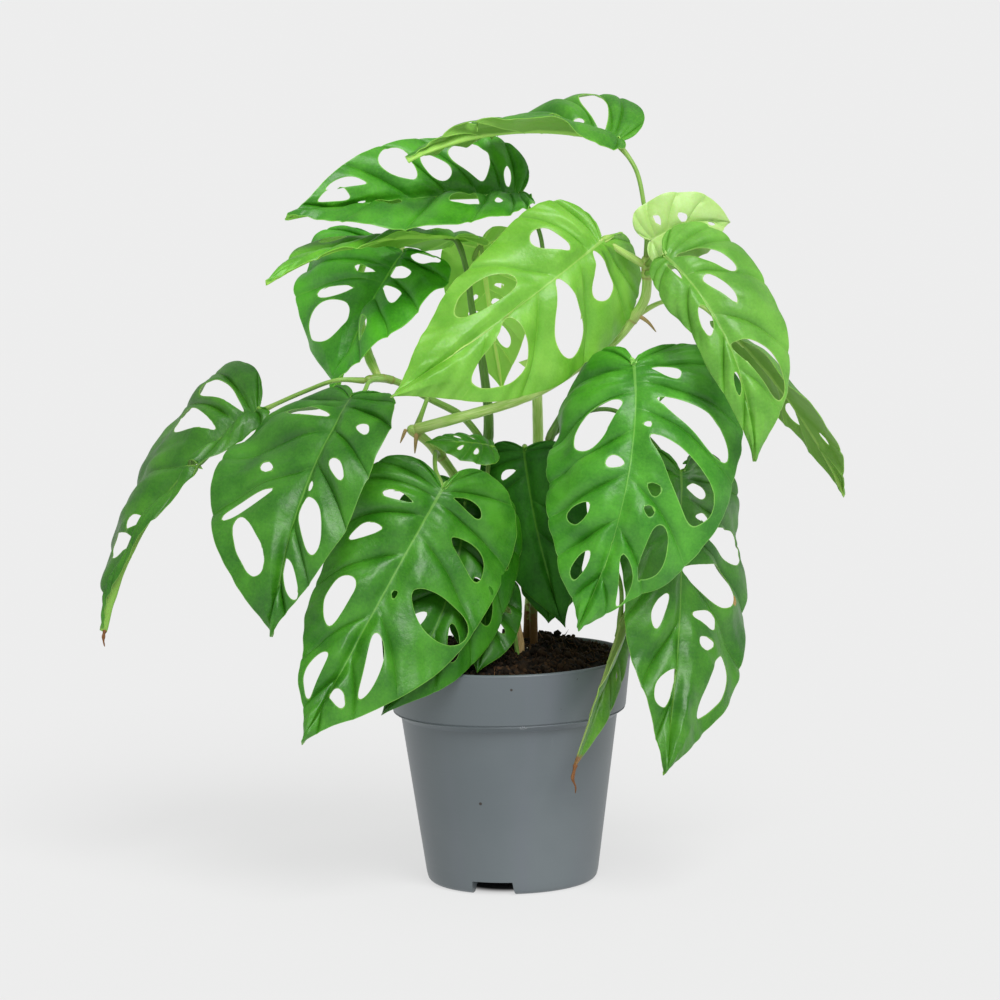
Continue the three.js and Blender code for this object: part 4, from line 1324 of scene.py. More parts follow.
@dataclass(frozen=True)
class Soil:
    """The pot's filling of peat, mounded at the back, with crumbs and fibres on it.

    A pair of bottom or edge is a radius and a height. Each of the lumps is the width, the
    height and the seed of one layer of unevenness. Crumbs, lumps of peat and pale grit are
    given as how many, their least and greatest radius and tint, and their seed.
    """

    bottom: tuple = ((38.9, 6.4), (50.8, 83.5), (55.0, 87.3))
    edge: tuple = (56.0, 106.0)
    crown: float = 115.0
    tilt: float = 3.0
    swell: float = 1.1
    lumps: tuple = ((6.5, 4.2, 11), (2.3, 2.4, 12), (0.9, 0.8, 13))
    tint_lump: tuple = (1.2, 14)
    rings: int = 96
    sides: int = 200
    small: tuple = (1500, (0.6, 1.7), (0.0, 0.28), 22)
    large: tuple = (214, (1.4, 3.1), (0.0, 0.2), 23)
    grit: tuple = (14, (0.35, 0.7), (1, 1), 24)
    grit_colour: tuple = (205, 198, 182)
    fibres: tuple = (150, 21)
    fibre_points: int = 6
    sharp: float = 70.0
    finish: SoilFinish = SoilFinish()

    def height(self, x: np.ndarray, y: np.ndarray) -> np.ndarray:
        """How high the soil lies: a mound that falls off with the cube of the radius, and lumps.

        It is tilted, so that it is highest at the back, and swells in two crossed waves.

        Args:
            x: places across.
            y: places to the back.

        Returns:
            The heights there.
        """
        radius, rim = self.edge
        share = np.hypot(x, y) / radius
        mound = self.crown - (self.crown - rim) * share**3 + self.tilt * y / radius
        wave = np.sin(0.31 * x + 0.9) * np.cos(0.27 * y - 0.4) + 0.6 * np.sin(0.53 * y - 0.37 * x)
        level = mound + self.swell * wave
        for width, height, seed in self.lumps:
            level = level + height * (self.uneven(x, y, width, seed) - 0.5)
        return level

    def uneven(self, x: np.ndarray, y: np.ndarray, width: float, seed: int) -> np.ndarray:
        """Noise from 0 to 1 over the bed, in patches of this width."""
        return lattice_noise(x / width + 30, y / width + 30, seed)

    def bed(self) -> Surface:
        """The body: a filling turned about the axis under a rough top.

        Returns:
            The closed body, with its tint.
        """
        low = np.array(self.bottom)
        top = np.linspace(1, 0, self.rings, endpoint=False)
        x, y = ring_places(np.concatenate([low[:, 0], self.edge[0] * top]), self.sides)
        z = self.height(x, y)
        z[: len(low)] = low[:, 1:]
        centre = self.height(np.zeros(1), np.zeros(1))[0]
        rings = np.stack([x, y, z], -1)
        points, faces = closed_rings(rings, (0, 0, low[0, 1]), (0, 0, centre))
        tint = self.uneven(points[:, 0], points[:, 1], *self.tint_lump)
        return Surface(points, faces, {"tint": np.clip(tint * 2.2 - 1.5, 0, 1)})

    def crumb_field(self, count: int, sizes: tuple, tints: tuple, seed: int) -> Surface:
        """Crumbs strewn over the bed: balls of 20 faces, squashed, turned and made uneven.

        Args:
            count: how many.
            sizes: the least and the greatest radius.
            tints: the least and the greatest share of the fibre colour.
            seed: the seed of their places.

        Returns:
            One surface with all of them.
        """
        rng = np.random.default_rng(seed)
        ball = ball_of_twenty()
        radius = rng.uniform(*sizes, count)
        away = self.edge[0] * np.sqrt(rng.uniform(0, 0.94, count))
        turn = rng.uniform(0, 2 * np.pi, count)
        x, y = away * np.cos(turn), away * np.sin(turn)
        centre = np.stack([x, y, self.height(x, y) + radius * rng.uniform(0, 0.5, count)], 1)
        spin = unit(rng.normal(size=(count, 3, 3)))
        uneven = rng.uniform(0.7, 1.25, (count, len(ball.points), 1))
        corners = (ball.points * uneven) * rng.uniform(0.55, 1.1, (count, 1, 3)) @ frames(spin)
        points = centre[:, None] + corners * radius[:, None, None]
        faces = ball.faces[None] + len(ball.points) * np.arange(count)[:, None, None]
        tint = np.repeat(rng.uniform(*tints, count), len(ball.points))
        return Surface(points.reshape(-1, 3), faces.reshape(-1, 3), {"tint": tint})

    def fibre(self, rng: np.random.Generator) -> Surface:
        """One root hair or straw: a thin bent bar that lies on the bed and lifts at one end.

        Args:
            rng: draws its place and form.

        Returns:
            The fibre.
        """
        count = self.fibre_points
        away, turn = self.edge[0] * math.sqrt(rng.uniform(0, 0.85)), rng.uniform(0, 2 * np.pi)
        heading, size = rng.uniform(0, 2 * np.pi), rng.uniform(4, 13)
        t = np.linspace(-0.5, 0.5, count)
        bend = heading + t * rng.uniform(-2, 2)
        x = away * np.cos(turn) + np.cumsum(np.cos(bend)) * size / count
        y = away * np.sin(turn) + np.cumsum(np.sin(bend)) * size / count
        inside = np.minimum(1, (self.edge[0] - 3) / np.hypot(x, y))
        x, y = x * inside, y * inside
        z = self.height(x, y) + 0.5 + rng.uniform(0, 5) * t**2 * 4 * (t > 0)
        thick = rng.uniform(0.1, 0.32)
        tint = rng.uniform(0.4, 1.0)
        return bar(np.stack([x, y, z], 1), thick * (1 - 0.7 * np.abs(t)), 4, 0, tint=tint)

    def build(self) -> bpy.types.Object:
        """Makes the filling with everything that lies on it.

        Returns:
            The piece.
        """
        count, seed = self.fibres
        rng = np.random.default_rng(seed)
        parts = [
            self.bed(),
            self.crumb_field(*self.small),
            self.crumb_field(*self.large),
            *[self.fibre(rng) for _ in range(count)],
        ]
        bare = [Surface(part.points, part.faces, {"tint": part.fields["tint"]}) for part in parts]
        grit = replace(self.crumb_field(*self.grit), finish=1)
        chalk = Shader("pale_grit").finish(Base_Color=linear(*self.grit_colour), Roughness=0.9)
        materials = [self.finish.dress("moist_peat"), chalk]
        piece = make_piece("soil_bed", [*bare, grit], materials, self.sharp)
        return placed(piece, "soil")


def frames(spin: np.ndarray) -> np.ndarray:
    """Right-handed sets of three square directions, from sets of three random ones.

    Args:
        spin: three random directions a row.

    Returns:
        Three square directions a row.
    """
    first = unit(spin[:, 0])
    second = unit(spin[:, 1] - first * np.sum(first * spin[:, 1], axis=1, keepdims=True))
    return np.stack([first, second, np.cross(first, second)], axis=1)


def ball_of_twenty() -> Surface:
    """A ball of twenty equal triangles, of radius 1."""
    golden = (1 + math.sqrt(5)) / 2
    signs = np.array([[a, b] for a in (-1, 1) for b in (-golden, golden)])
    corners = np.vstack([np.insert(signs, place, 0, axis=1) for place in range(3)])
    corners[4:8] = corners[4:8][:, [2, 1, 0]]
    return convex(unit(corners))


# ------------------------------------------------------------------ stems


@dataclass(frozen=True)
class Stem:
    """A stem with swollen knots where its leaves leave it, and short roots at the knots.

    The swelling and the scar below it are heights and widths, and the scar has its distance.
    Below wooden_to the skin turns to wood, wholly so after wooden_over.
    """

    plan: StemPlan
    joints: tuple = ()
    woody: bool = False
    sides: int = 20
    spacing: float = 0.8
    stoutness: tuple = (0.98, 0.12)
    swelling: tuple = (0.42, 3.0)
    scar: tuple = (0.2, 0.7, 2.4)
    lump: float = 0.22
    woody_lump: float = 0.55
    wooden_to: float = 152.0
    wooden_over: float = 34.0
    twig_rings: int = 24
    twig_sides: int = 10
    finish: StalkFinish = StalkFinish()
    bark: BarkFinish = BarkFinish((196, 152, 98), (238, 208, 150))

    def marks(self, path: np.ndarray, passed: np.ndarray) -> np.ndarray:
        """How far along the path its knots are: one at each joint that lies on it.

        Args:
            path: the stem's middle line.
            passed: how far along it its points are.

        Returns:
            The lengths at the knots.
        """
        joints = np.array(self.joints, float).reshape(-1, 3)
        away = np.linalg.norm(path[None] - joints[:, None], axis=2)
        near = away.min(axis=1) < 3 * self.plan.radius
        return passed[away.argmin(axis=1)[near]]

    def stalk(self, line: Sequence, seed: int) -> Surface:
        """One length of the stem.

        Its radius is the plan's, less a slow taper, plus a bell and a narrow ring at every knot
        and small uneven lumps.

        Args:
            line: the points of its middle line.
            seed: the seed of its lumps.

        Returns:
            Its surface.
        """
        count = int(lengths_along(np.array(line, float))[-1] / self.spacing)
        path = spline(line, count)
        passed = lengths_along(path)
        away = passed[None] - self.marks(path, passed)[:, None]
        (height, width), (ridge, thin, below) = self.swelling, self.scar
        swell, scar = (
            np.max(np.vstack([bells, np.zeros((1, count))]), axis=0)
            for bells in (bell(away, width), bell(away + below, thin))
        )
        turn = np.linspace(0, 1, self.sides, endpoint=False)
        lumps = lattice_noise(passed[:, None] / 4 + 9, turn[None] * 6 + seed, seed) - 0.5
        whole, taper = self.stoutness
        size = self.plan.radius * (whole - taper * passed / passed[-1])
        size = size + height * swell + ridge * scar
        radii = size[:, None] + lumps * (self.woody_lump if self.woody else self.lump)
        knot = np.maximum(scar, 0.35 * swell)
        old = np.clip((self.wooden_to - path[:, 2]) / self.wooden_over, 0, 1)
        return bar(path, radii, self.sides, int(self.woody), knot=knot, old=old)

    def twig(self, thick: float, line: Sequence) -> Surface:
        """A short dry root or spike: it keeps its thickness and then draws in to its point.

        Args:
            thick: its radius.
            line: the points of its middle line.

        Returns:
            Its surface.
        """
        t = np.linspace(0, 1, self.twig_rings)
        radii = thick * (1.3 - 1.05 * t**2.2)
        return bar(spline(line, self.twig_rings), radii, self.twig_sides, 1, knot=1.0)

    def build(self) -> bpy.types.Object:
        """Makes the stem with its roots.

        Returns:
            The piece.
        """
        parts = [self.stalk(line, 31 + k) for k, line in enumerate(self.plan.lines)]
        parts += [self.twig(thick, line) for thick, line in self.plan.twigs]
        name = self.plan.name
        materials = [self.finish.dress(name + "_skin"), self.bark.dress(name + "_bark")]
        piece = make_piece(name + "_grown", parts, materials)
        return placed(piece, name)


# ------------------------------------------------------------------ leaves


class Rib:
    """The bent middle line of a blade: an arc that can lean sideways, with a twist along it."""

    def __init__(self, plan: LeafPlan) -> None:
        """Works the arc out from its ends, its face and its two bends.

        Args:
            plan: the leaf's sizes.
        """
        self.base = np.array(plan.base, float)
        chord = np.array(plan.tip, float) - self.base
        along = unit(chord)
        face = np.array(plan.face, float)
        face = unit(face - along * (face @ along))
        bend = math.hypot(plan.arch, plan.sway)
        self.up, self.out, self.turn = plan.arch / bend, plan.sway / bend, math.radians(bend)
        drop = face * self.up + np.cross(face, along) * self.out
        half = self.turn / 2
        self.start = along * math.cos(half) + drop * math.sin(half)
        self.lift = drop * math.cos(half) - along * math.sin(half)
        self.side = np.cross(along, drop)
        self.length = float(np.linalg.norm(chord)) * half / math.sin(half)
        self.twist = math.radians(plan.twist)

    def at(self, share: np.ndarray) -> tuple[np.ndarray, np.ndarray, np.ndarray]:
        """Points of the rib, with the directions across the blade and out of its face.

        A point is base + start R sin a - lift R (1 - cos a), with a the turned angle and R the
        arc's radius; the two directions turn with the arc and then about it by the twist.

        Args:
            share: shares of the way from the base to the tip.

        Returns:
            Points, directions across and directions out.
        """
        share = np.asarray(share, float)[..., None]
        angle, radius = self.turn * share, self.length / self.turn
        ahead = self.start * radius * np.sin(angle)
        point = self.base + ahead - self.lift * radius * (1 - np.cos(angle))
        risen = self.lift * np.cos(angle) + self.start * np.sin(angle)
        face = risen * self.up + self.side * self.out
        across = risen * self.out - self.side * self.up
        turn = self.twist * share
        return (
            point,
            across * np.cos(turn) + face * np.sin(turn),
            face * np.cos(turn) - across * np.sin(turn),
        )


def row_values(place: np.ndarray) -> np.ndarray:
    """The columns of ROWS at any place between the rows, joined by Catmull-Rom curves.

    Args:
        place: places among the rows.

    Returns:
        Starts on the rib, angles and reaches.
    """
    rows = np.vstack([2 * ROWS[0] - ROWS[1], ROWS, 2 * ROWS[-1] - ROWS[-2]])
    first = np.clip(np.floor(place).astype(int), 0, LAST_ROW - 1)
    f = (place - first)[..., None]
    a, b, c, d = (rows[first + step] for step in range(4))
    square, cube = 2 * a - 5 * b + 4 * c - d, 3 * b - a - 3 * c + d
    return np.moveaxis(0.5 * (2 * b + (c - a) * f + square * f**2 + cube * f**3), -1, 0)


@dataclass(frozen=True)
class Blade:
    """The thin, holed plate of a leaf, with its veins in relief.

    Its points are given by a place among the rows, at whose whole numbers the rows lie, and a
    share of the way from the rib to the margin. Troughs and ridges are heights and widths.
    """

    plan: LeafPlan
    rows: int
    columns: int
    thick: float = 0.28
    rib_trough: tuple = (1.0, 2.6)
    vein_trough: tuple = (0.5, 1.3)
    rib_ridge: tuple = (1.0, 0.75)
    vein_ridge: tuple = (0.24, 0.55)
    quilt: float = 2.7
    unrest: tuple = (4.8, 19.0, 41)
    ripple: tuple = (1.4, 15.0, 3.3, 43)
    joint: float = 5.0
    full_half: float = 45.0
    crowding: float = 0.62
    egg: float = 0.26

    def flat(
        self, place: np.ndarray, share: np.ndarray, side: Side
    ) -> tuple[np.ndarray, np.ndarray]:
        """Where a point of a side vein lies on the flat blade, across the rib and along it.

        A side vein is an arc that leaves the rib at the row's angle and bends to the tip; both
        results are shares of the blade's length, across as for a half width of HALF_REACH.

        Args:
            place: places among the rows.
            share: shares of the way to the margin.
            side: the half.

        Returns:
            Shares across and along.
        """
        rib, degrees, reach = row_values(place)
        rib = np.where(place <= 1, 0, np.maximum(rib, 0))
        opened = SQUARE_ANGLE + (degrees - SQUARE_ANGLE) * self.plan.lobe[side.value]
        opened = np.minimum(opened, WIDEST_ANGLE)
        start = np.radians(np.where(degrees > SQUARE_ANGLE, opened, degrees))
        end, bow = start - VEIN_BEND * share, reach / VEIN_BEND
        return bow * (np.cos(end) - np.cos(start)), rib + bow * (np.sin(start) - np.sin(end))

    def point(self, place: np.ndarray, share: np.ndarray, side: Side) -> tuple[np.ndarray, ...]:
        """Points of the bent blade, with their flat coordinates in millimetres.

        Across the rib the blade leaves at the fold angle and curls on as a circle does; the
        margin waves with the square of the width.

        Args:
            place: places among the rows.
            share: shares of the way to the margin.
            side: the half.

        Returns:
            Points, and widths and lengths on the flat blade.
        """
        half, rib = self.plan.half[side.value], Rib(self.plan)
        across, along = self.flat(place, share, side)
        width = across * half / HALF_REACH
        fold = math.radians(self.plan.fold[side.value])
        curl = math.radians(self.plan.curl[side.value]) / half
        lean = fold - curl * width
        wave = self.plan.wave * (width / half) ** 2 * np.sin(WAVES * along + 2 * side.value)
        out = (math.sin(fold) - np.sin(lean)) / curl
        rise = (np.cos(lean) - math.cos(fold)) / curl + wave
        middle, aside, face = rib.at(along)
        point = middle + aside * side.sign * out[..., None] + face * rise[..., None]
        return point, width, along * rib.length

    def veins(self, side: Side) -> np.ndarray:
        """The rows of the side veins: one between each two holes, others where there is room.

        One runs half a row before the first hole and one 0.45 rows past the last. None crosses a
        hole that spans more than a fifth of the half, and none lies at the notch or the tip.

        Args:
            side: the half.

        Returns:
            Their places, in order.
        """
        holes = self.plan.holes[side.value]
        rows = sorted(row for row, *_ in holes)
        marks = [rows[0] - 0.5, *[(a + b) / 2 for a, b in zip(rows, rows[1:]) if b - a > 0.3]]
        marks += [rows[-1] + 0.45, *[row for row in (0.9, 2.0) if row < marks[0] - 0.4]]
        long = [(row, width) for row, inner, outer, width, _ in holes if outer - inner > 0.2]
        free = [
            mark for mark in marks
            if 0.3 < mark < LAST_ROW - 0.45
            and all(abs(mark - row) > 0.45 * width for row, width in long)
        ]
        return np.array(sorted(free))

    def places(self) -> np.ndarray:
        """The rows of the grid: even ones, moved so that every side vein has its own.

        Returns:
            A place for each row of the grid.
        """
        places = np.linspace(0, LAST_ROW, self.rows)
        for side in Side:
            for vein in self.veins(side):
                places[np.argmin(np.abs(places - vein))] = vein
        return places

    def half_sheet(self, side: Side) -> tuple[np.ndarray, np.ndarray, np.ndarray]:
        """One half's grid of rows and shares, its holes cut to their rims.

        Grid points within a hole move straight away from its middle to its rim; triangles that
        lay inside it whole are left out.

        Args:
            side: the half.

        Returns:
            Rows, shares and triangles.
        """
        t = np.linspace(0, 1, self.columns)
        shares = t - self.crowding * np.sin(2 * np.pi * t) / (2 * np.pi)
        place, share = (grid.ravel() for grid in np.meshgrid(self.places(), shares, indexing="ij"))
        faces = grid_faces(self.rows, self.columns)
        for hole in self.plan.holes[side.value]:
            row, inner, outer, width, skew = hole
            u, v, reach = self.in_hole(place, share, hole)
            inside = reach < 1
            faces = faces[~inside[faces].all(axis=1)]
            grow = np.where(inside, 1 / np.maximum(reach, TINY), 1)
            u, v = u * grow, v * grow
            place = np.where(inside, row + skew * u + v * width / 2 * (1 + self.egg * u), place)
            share = np.where(inside, (inner + outer) / 2 + u * (outer - inner) / 2, share)
        return place, share, faces if side is Side.RIGHT else faces[:, ::-1]

    def in_hole(self, place: np.ndarray, share: np.ndarray, hole: tuple) -> tuple[np.ndarray, ...]:
        """Where points lie in a hole: on two axes on which it is about a circle of radius 1.

        Its rim is 1 + 0.06 sin(2 a + k) + 0.07 sin(3 a + 2 k) at the angle a, with k from its
        row, so that no two holes are alike.

        Args:
            place: places among the rows.
            share: shares of the way to the margin.
            hole: its row, inner and outer share, width in rows and skew.

        Returns:
            Both coordinates, and the distance from the middle as a share of the rim's.
        """
        row, inner, outer, width, skew = hole
        u = (share - (inner + outer) / 2) / ((outer - inner) / 2)
        v = (place - row - skew * u) / (width / 2 * np.maximum(1 + self.egg * u, 0.3))
        angle, own = np.arctan2(v, u), 37 * row
        rim = 1 + 0.06 * np.sin(2 * angle + own) + 0.07 * np.sin(3 * angle + 2 * own)
        return u, v, np.hypot(u, v) / rim

    def fields(self, place: np.ndarray, share: np.ndarray, side: Side) -> dict[str, np.ndarray]:
        """Distances to the nearest edge, side vein and rib, in millimetres, and the relief.

        A step of a thousandth along the rows and along the veins gives the scale of both.

        Args:
            place: places among the rows.
            share: shares of the way to the margin.
            side: the half.

        Returns:
            The fields by name.
        """
        step = 1e-3
        here, width, along = self.point(place, share, side)
        forth = self.point(np.minimum(place + step, LAST_ROW), share, side)[0]
        back = self.point(np.maximum(place - step, 0), share, side)[0]
        out = self.point(place, share + step, side)[0]
        per_row = np.linalg.norm(forth - back, axis=-1) / (2 * step)
        per_share = np.linalg.norm(out - here, axis=-1) / step
        edge = np.minimum((1 - share) * per_share, place * per_row + share * 2)
        for hole in self.plan.holes[side.value]:
            u, v, reach = self.in_hole(place, share, hole)
            slope = np.hypot(
                u / np.maximum((hole[2] - hole[1]) / 2 * per_share, step),
                v / np.maximum(hole[3] / 2 * per_row, step),
            )
            edge = np.minimum(edge, (reach - 1) * reach / np.maximum(slope, TINY))
        veins = self.veins(side)
        ends = np.concatenate([[-0.4], veins, [LAST_ROW + 0.4]])
        before = np.clip(np.searchsorted(ends, place, side="right") - 1, 0, len(ends) - 2)
        between = (place - ends[before]) / (ends[before + 1] - ends[before])
        gap = (ends[before + 1] - ends[before]) * per_row
        vein = np.abs(place[:, None] - veins[None]).min(axis=1) * per_row
        length = Rib(self.plan).length
        flat = (width, along, place * length / LAST_ROW)
        bulge = self.bulge(place, share, between, gap)
        return {
            "edge": np.clip(edge, 0, 50),
            "rib": np.abs(width),
            "vein": vein,
            "along": along / length,
            "u": width * side.sign * UV_PER_MM,
            "v": along * UV_PER_MM,
            "relief": self.relief(bulge, self.unevenness(flat, gap, side), share, vein, flat),
        }

    def bulge(
        self, place: np.ndarray, share: np.ndarray, between: np.ndarray, gap: np.ndarray
    ) -> np.ndarray:
        """How far the blade bulges between two side veins.

        That is (4 t (1 - t))^0.8 at the share t of the way between them, the more the wider the
        gap, up to 14 mm. It rises over the first 22% of the way from the rib, falls to 30% over
        the last 40%, and is less on the rows behind the stalk.

        Args:
            place: places among the rows.
            share: shares of the way to the margin.
            between: shares of the way between the veins.
            gap: how far apart the veins are.

        Returns:
            The bulge.
        """
        swell = np.clip(share / 0.22, 0, 1) * (1 - 0.7 * np.clip((share - 0.6) / 0.4, 0, 1))
        wide = np.clip(gap / 14, 0, 1.2)
        bulge = (4 * between * (1 - between)) ** 0.8 * swell * self.quilt * wide
        return bulge * np.clip(place / 2.6, 0.25, 1)

    def unevenness(self, flat: tuple, gap: np.ndarray, side: Side) -> tuple[np.ndarray, np.ndarray]:
        """Slow noise all over, and ripples that run along the side veins.

        Each is given as its height, the widths of its patches and its seed. The ripples fade
        where the gap between two veins is under 9 mm.

        Args:
            flat: widths, lengths and rows on the flat blade.
            gap: how far apart the veins are.
            side: the half.

        Returns:
            The noise and the ripples.
        """
        width, along, rows = flat
        apart = side.value * 40
        height, patch, seed = self.unrest
        slow = lattice_noise(width / patch + 21 + apart, along / patch + 11, seed) - 0.5
        crest, reach, spacing, seed = self.ripple
        ripple = lattice_noise(width / reach + 31 + apart, rows / spacing + 13, seed) - 0.5
        return slow * height, ripple * crest * np.clip(gap / 9, 0, 1)

    def relief(
        self, bulge: np.ndarray, uneven: tuple, share: np.ndarray, vein: np.ndarray, flat: tuple
    ) -> np.ndarray:
        """How far the blade stands out of its smooth form towards its face.

        The rib and the side veins lie in troughs, the rib's fading towards the stalk. On a
        blade whose half is under full_half, all but the side veins' troughs is shallower.

        Args:
            bulge: what bulge gives.
            uneven: what unevenness gives.
            share: shares of the way to the margin.
            vein: distances to a side vein.
            flat: widths, lengths and rows on the flat blade.

        Returns:
            The relief.
        """
        width, along, _ = flat
        slow, ripple = uneven
        (rib_depth, rib_width), (depth, vein_width) = self.rib_trough, self.vein_trough
        size = min(max(self.plan.half) / self.full_half, 1.15)
        fade = np.clip(share / 0.12, 0, 1)
        open_rib = np.clip((along - self.joint) / 12, 0, 1)
        trough = rib_depth * size * bell(width, rib_width) * open_rib
        trough = trough + depth * bell(vein, vein_width) * fade
        return (bulge + slow + ripple) * fade * size - trough

    def joined(self) -> tuple[np.ndarray, np.ndarray, dict[str, np.ndarray]]:
        """Both halves, joined along the rib by welding equal points.

        Returns:
            Points, triangles and the fields' values at the points.
        """
        points, faces, fields = [], [], []
        start = 0
        for side in Side:
            place, share, made = self.half_sheet(side)
            points.append(self.point(place, share, side)[0])
            faces.append(made + start)
            fields.append(self.fields(place, share, side))
            start += len(place)
        points, faces = np.vstack(points), np.vstack(faces)
        rounded = np.round(points, 3)
        _, kept, number = np.unique(rounded, axis=0, return_index=True, return_inverse=True)
        faces = number.ravel()[faces]
        faces = faces[(faces != np.roll(faces, 1, axis=1)).all(axis=1)]
        used, faces = np.unique(faces, return_inverse=True)
        kept = kept[used]
        values = {key: np.concatenate([half[key] for half in fields])[kept] for key in fields[0]}
        return points[kept], faces.reshape(-1, 3), values

    def sheet(self) -> Surface:
        """The whole blade as a closed plate.

        The plate's two skins lie thick out along the normals, and 0.4 of that at the edges;
        below, the rib and the side veins stand out. Walls close every edge.

        Returns:
            The plate, with its fields.
        """
        points, faces, fields = self.joined()
        points = points + vertex_normals(points, faces) * fields.pop("relief")[:, None]
        normal = vertex_normals(points, faces)
        half = self.thick * (0.4 + 0.6 * np.clip(fields["edge"] / 0.9, 0, 1))
        left = 1 - fields["along"]
        (keel, girth), (ridge, width) = self.rib_ridge, self.vein_ridge
        keel = keel * np.clip(left, 0, 1) ** 0.7 * bell(fields["rib"], girth + 0.5 * left)
        lateral = ridge * bell(fields["vein"], width) * np.clip(fields["edge"] / 2, 0, 1)
        above = points + normal * half[:, None]
        below = points - normal * (half + keel + lateral)[:, None]
        count = len(points)
        edges = np.vstack([faces[:, [0, 1]], faces[:, [1, 2]], faces[:, [2, 0]]])
        single = ~np.isin(edges @ (count, 1), edges @ (1, count))
        a, b = edges[single].T
        walls = np.vstack([np.stack([a + count, b + count, b], 1), np.stack([a + count, b, a], 1)])
        doubled = {key: np.tile(values, 2) for key, values in fields.items()}
        doubled["upper"] = np.repeat([1.0, 0.0], count)
        faces = np.vstack([faces, faces[:, ::-1] + count, walls])
        return Surface(np.vstack([above, below]), faces, doubled)


def vertex_normals(points: np.ndarray, faces: np.ndarray) -> np.ndarray:
    """Each point's normal: the sum of its triangles' own, larger triangles counting for more.

    Args:
        points: the points.
        faces: the triangles.

    Returns:
        One direction a point.
    """
    a, b, c = (points[faces[:, k]] for k in range(3))
    flat = np.cross(b - a, c - a)
    total = np.zeros_like(points)
    for k in range(3):
        np.add.at(total, faces[:, k], flat)
    return unit(total)


@dataclass(frozen=True)
class Leaf:
    """A leaf: its blade, and the stalk that carries it.

    The stalk's sheath and joint are heights and lengths, and the joint has its distance from
    the blade. Its last two points are given as how far along the rib and how deep under it they
    lie. A stout stalk thickens over stout_from and then draws in towards the blade.
    """

    plan: LeafPlan
    skin: BladeFinish
    stalk_radius: float = 1.2
    stalk_sides: int = 16
    stalk_rings: int = 120
    sheath: tuple = (0.55, 16.0)
    joint: tuple = (0.32, 4.0, 11.0)
    under_rib: tuple = ((0.0, 1.2), (7.0, 1.15))
    stout: float = 0.0
    stout_from: float = 12.0
    thread: tuple = ()
    thread_thick: tuple = (1.25, 0.12)
    thread_rings: int = 30
    thread_sides: int = 8
    sharp: float = 60.0
    withered: BarkFinish = BarkFinish((96, 58, 30), (166, 112, 62))
    stalk_finish: StalkFinish = StalkFinish()

    def grid(self) -> tuple[int, int]:
        """How many rows and columns the blade's halves are made with: finer on large ones.

        Returns:
            Rows and columns.
        """
        fine = 1.0
        rows = int(np.clip(Rib(self.plan).length * 1.35, 70, 165) * fine)
        return rows, int(np.clip(max(self.plan.half) * 0.95, 20, 46) * fine)

    def stalk(self) -> Surface:
        """The stalk, from within its stem to the underside of the rib.

        Its radius flares to a sheath at the foot, swells at the joint below the blade and fades
        into the rib.

        Returns:
            Its surface.
        """
        rib = Rib(self.plan)
        (start, low), (end, high) = self.under_rib
        point, _, face = rib.at(np.array([start, end / rib.length]))
        line = [*self.plan.stalk, point[0] - face[0] * low, point[1] - face[1] * high]
        path = spline(line, self.stalk_rings)
        passed = lengths_along(path)
        left = passed[-1] - passed
        (flare, flared), (height, width, before) = self.sheath, self.joint
        sheath = flare * np.clip(1 - passed / flared, 0, 1) ** 1.5
        joint = height * bell(left - before, width)
        fading = np.clip(left / end, 0, 1)
        stout = self.stout * np.minimum(passed / self.stout_from, 1) * left / passed[-1]
        radii = (self.stalk_radius * (0.9 + sheath) + joint + stout) * (0.5 + 0.5 * fading)
        knot = np.clip(0.5 * bell(passed, 5) + 0.18 * bell(left - before, width), 0, 1)
        return bar(path, radii, self.stalk_sides, 1, knot=knot)

    def dry_thread(self) -> Surface:
        """The withered, curled end of the tip, which thins out to a hair.

        Returns:
            Its surface.
        """
        thick, hair = self.thread_thick
        t = np.linspace(0, 1, self.thread_rings)
        radii = thick * (1 - t) ** 0.8 * (0.8 + 0.2 * np.cos(14 * t)) + hair
        return bar(spline(self.thread, self.thread_rings), radii, self.thread_sides, 2)

    def build(self) -> bpy.types.Object:
        """Makes the leaf.

        Returns:
            The piece.
        """
        rows, columns = self.grid()
        parts = [Blade(self.plan, rows, columns).sheet(), self.stalk()]
        name = self.plan.name
        materials = [self.skin.dress(name + "_skin"), self.stalk_finish.dress(name + "_stalk")]
        if self.thread:
            parts.append(self.dry_thread())
            materials.append(self.withered.dress(name + "_withered"))
        return placed(make_piece(name + "_grown", parts, materials, self.sharp), name)


MID = BladeFinish((36, 104, 8), (76, 148, 32), (140, 192, 84), (104, 154, 58))
FRESH = BladeFinish((104, 176, 40), (136, 204, 64), (190, 224, 110), (144, 190, 80))
# Painted shade: darker greens for leaves that lie in shadow.
SHADE = BladeFinish((24, 78, 10), (52, 116, 24), (104, 148, 52), (78, 128, 42), 0.49, 0.22)
COOL = BladeFinish((84, 150, 40), (122, 190, 68), (176, 214, 112), (122, 172, 76))
PALE = BladeFinish((184, 220, 118), (208, 238, 154), (222, 240, 170), (190, 222, 126))
OLIVE = BladeFinish((74, 128, 34), (112, 166, 58), (164, 196, 96), (124, 164, 66))
DULL = replace(MID, shine=0.3)

# Withered patches: a place and a radius in millimetres, and a colour.
EDGE_SPOT = (110.5, -23.6, 139.7, 3.2, (168, 132, 52))
TIP_SPOT = (30, -66, 67, 9, (128, 92, 44))
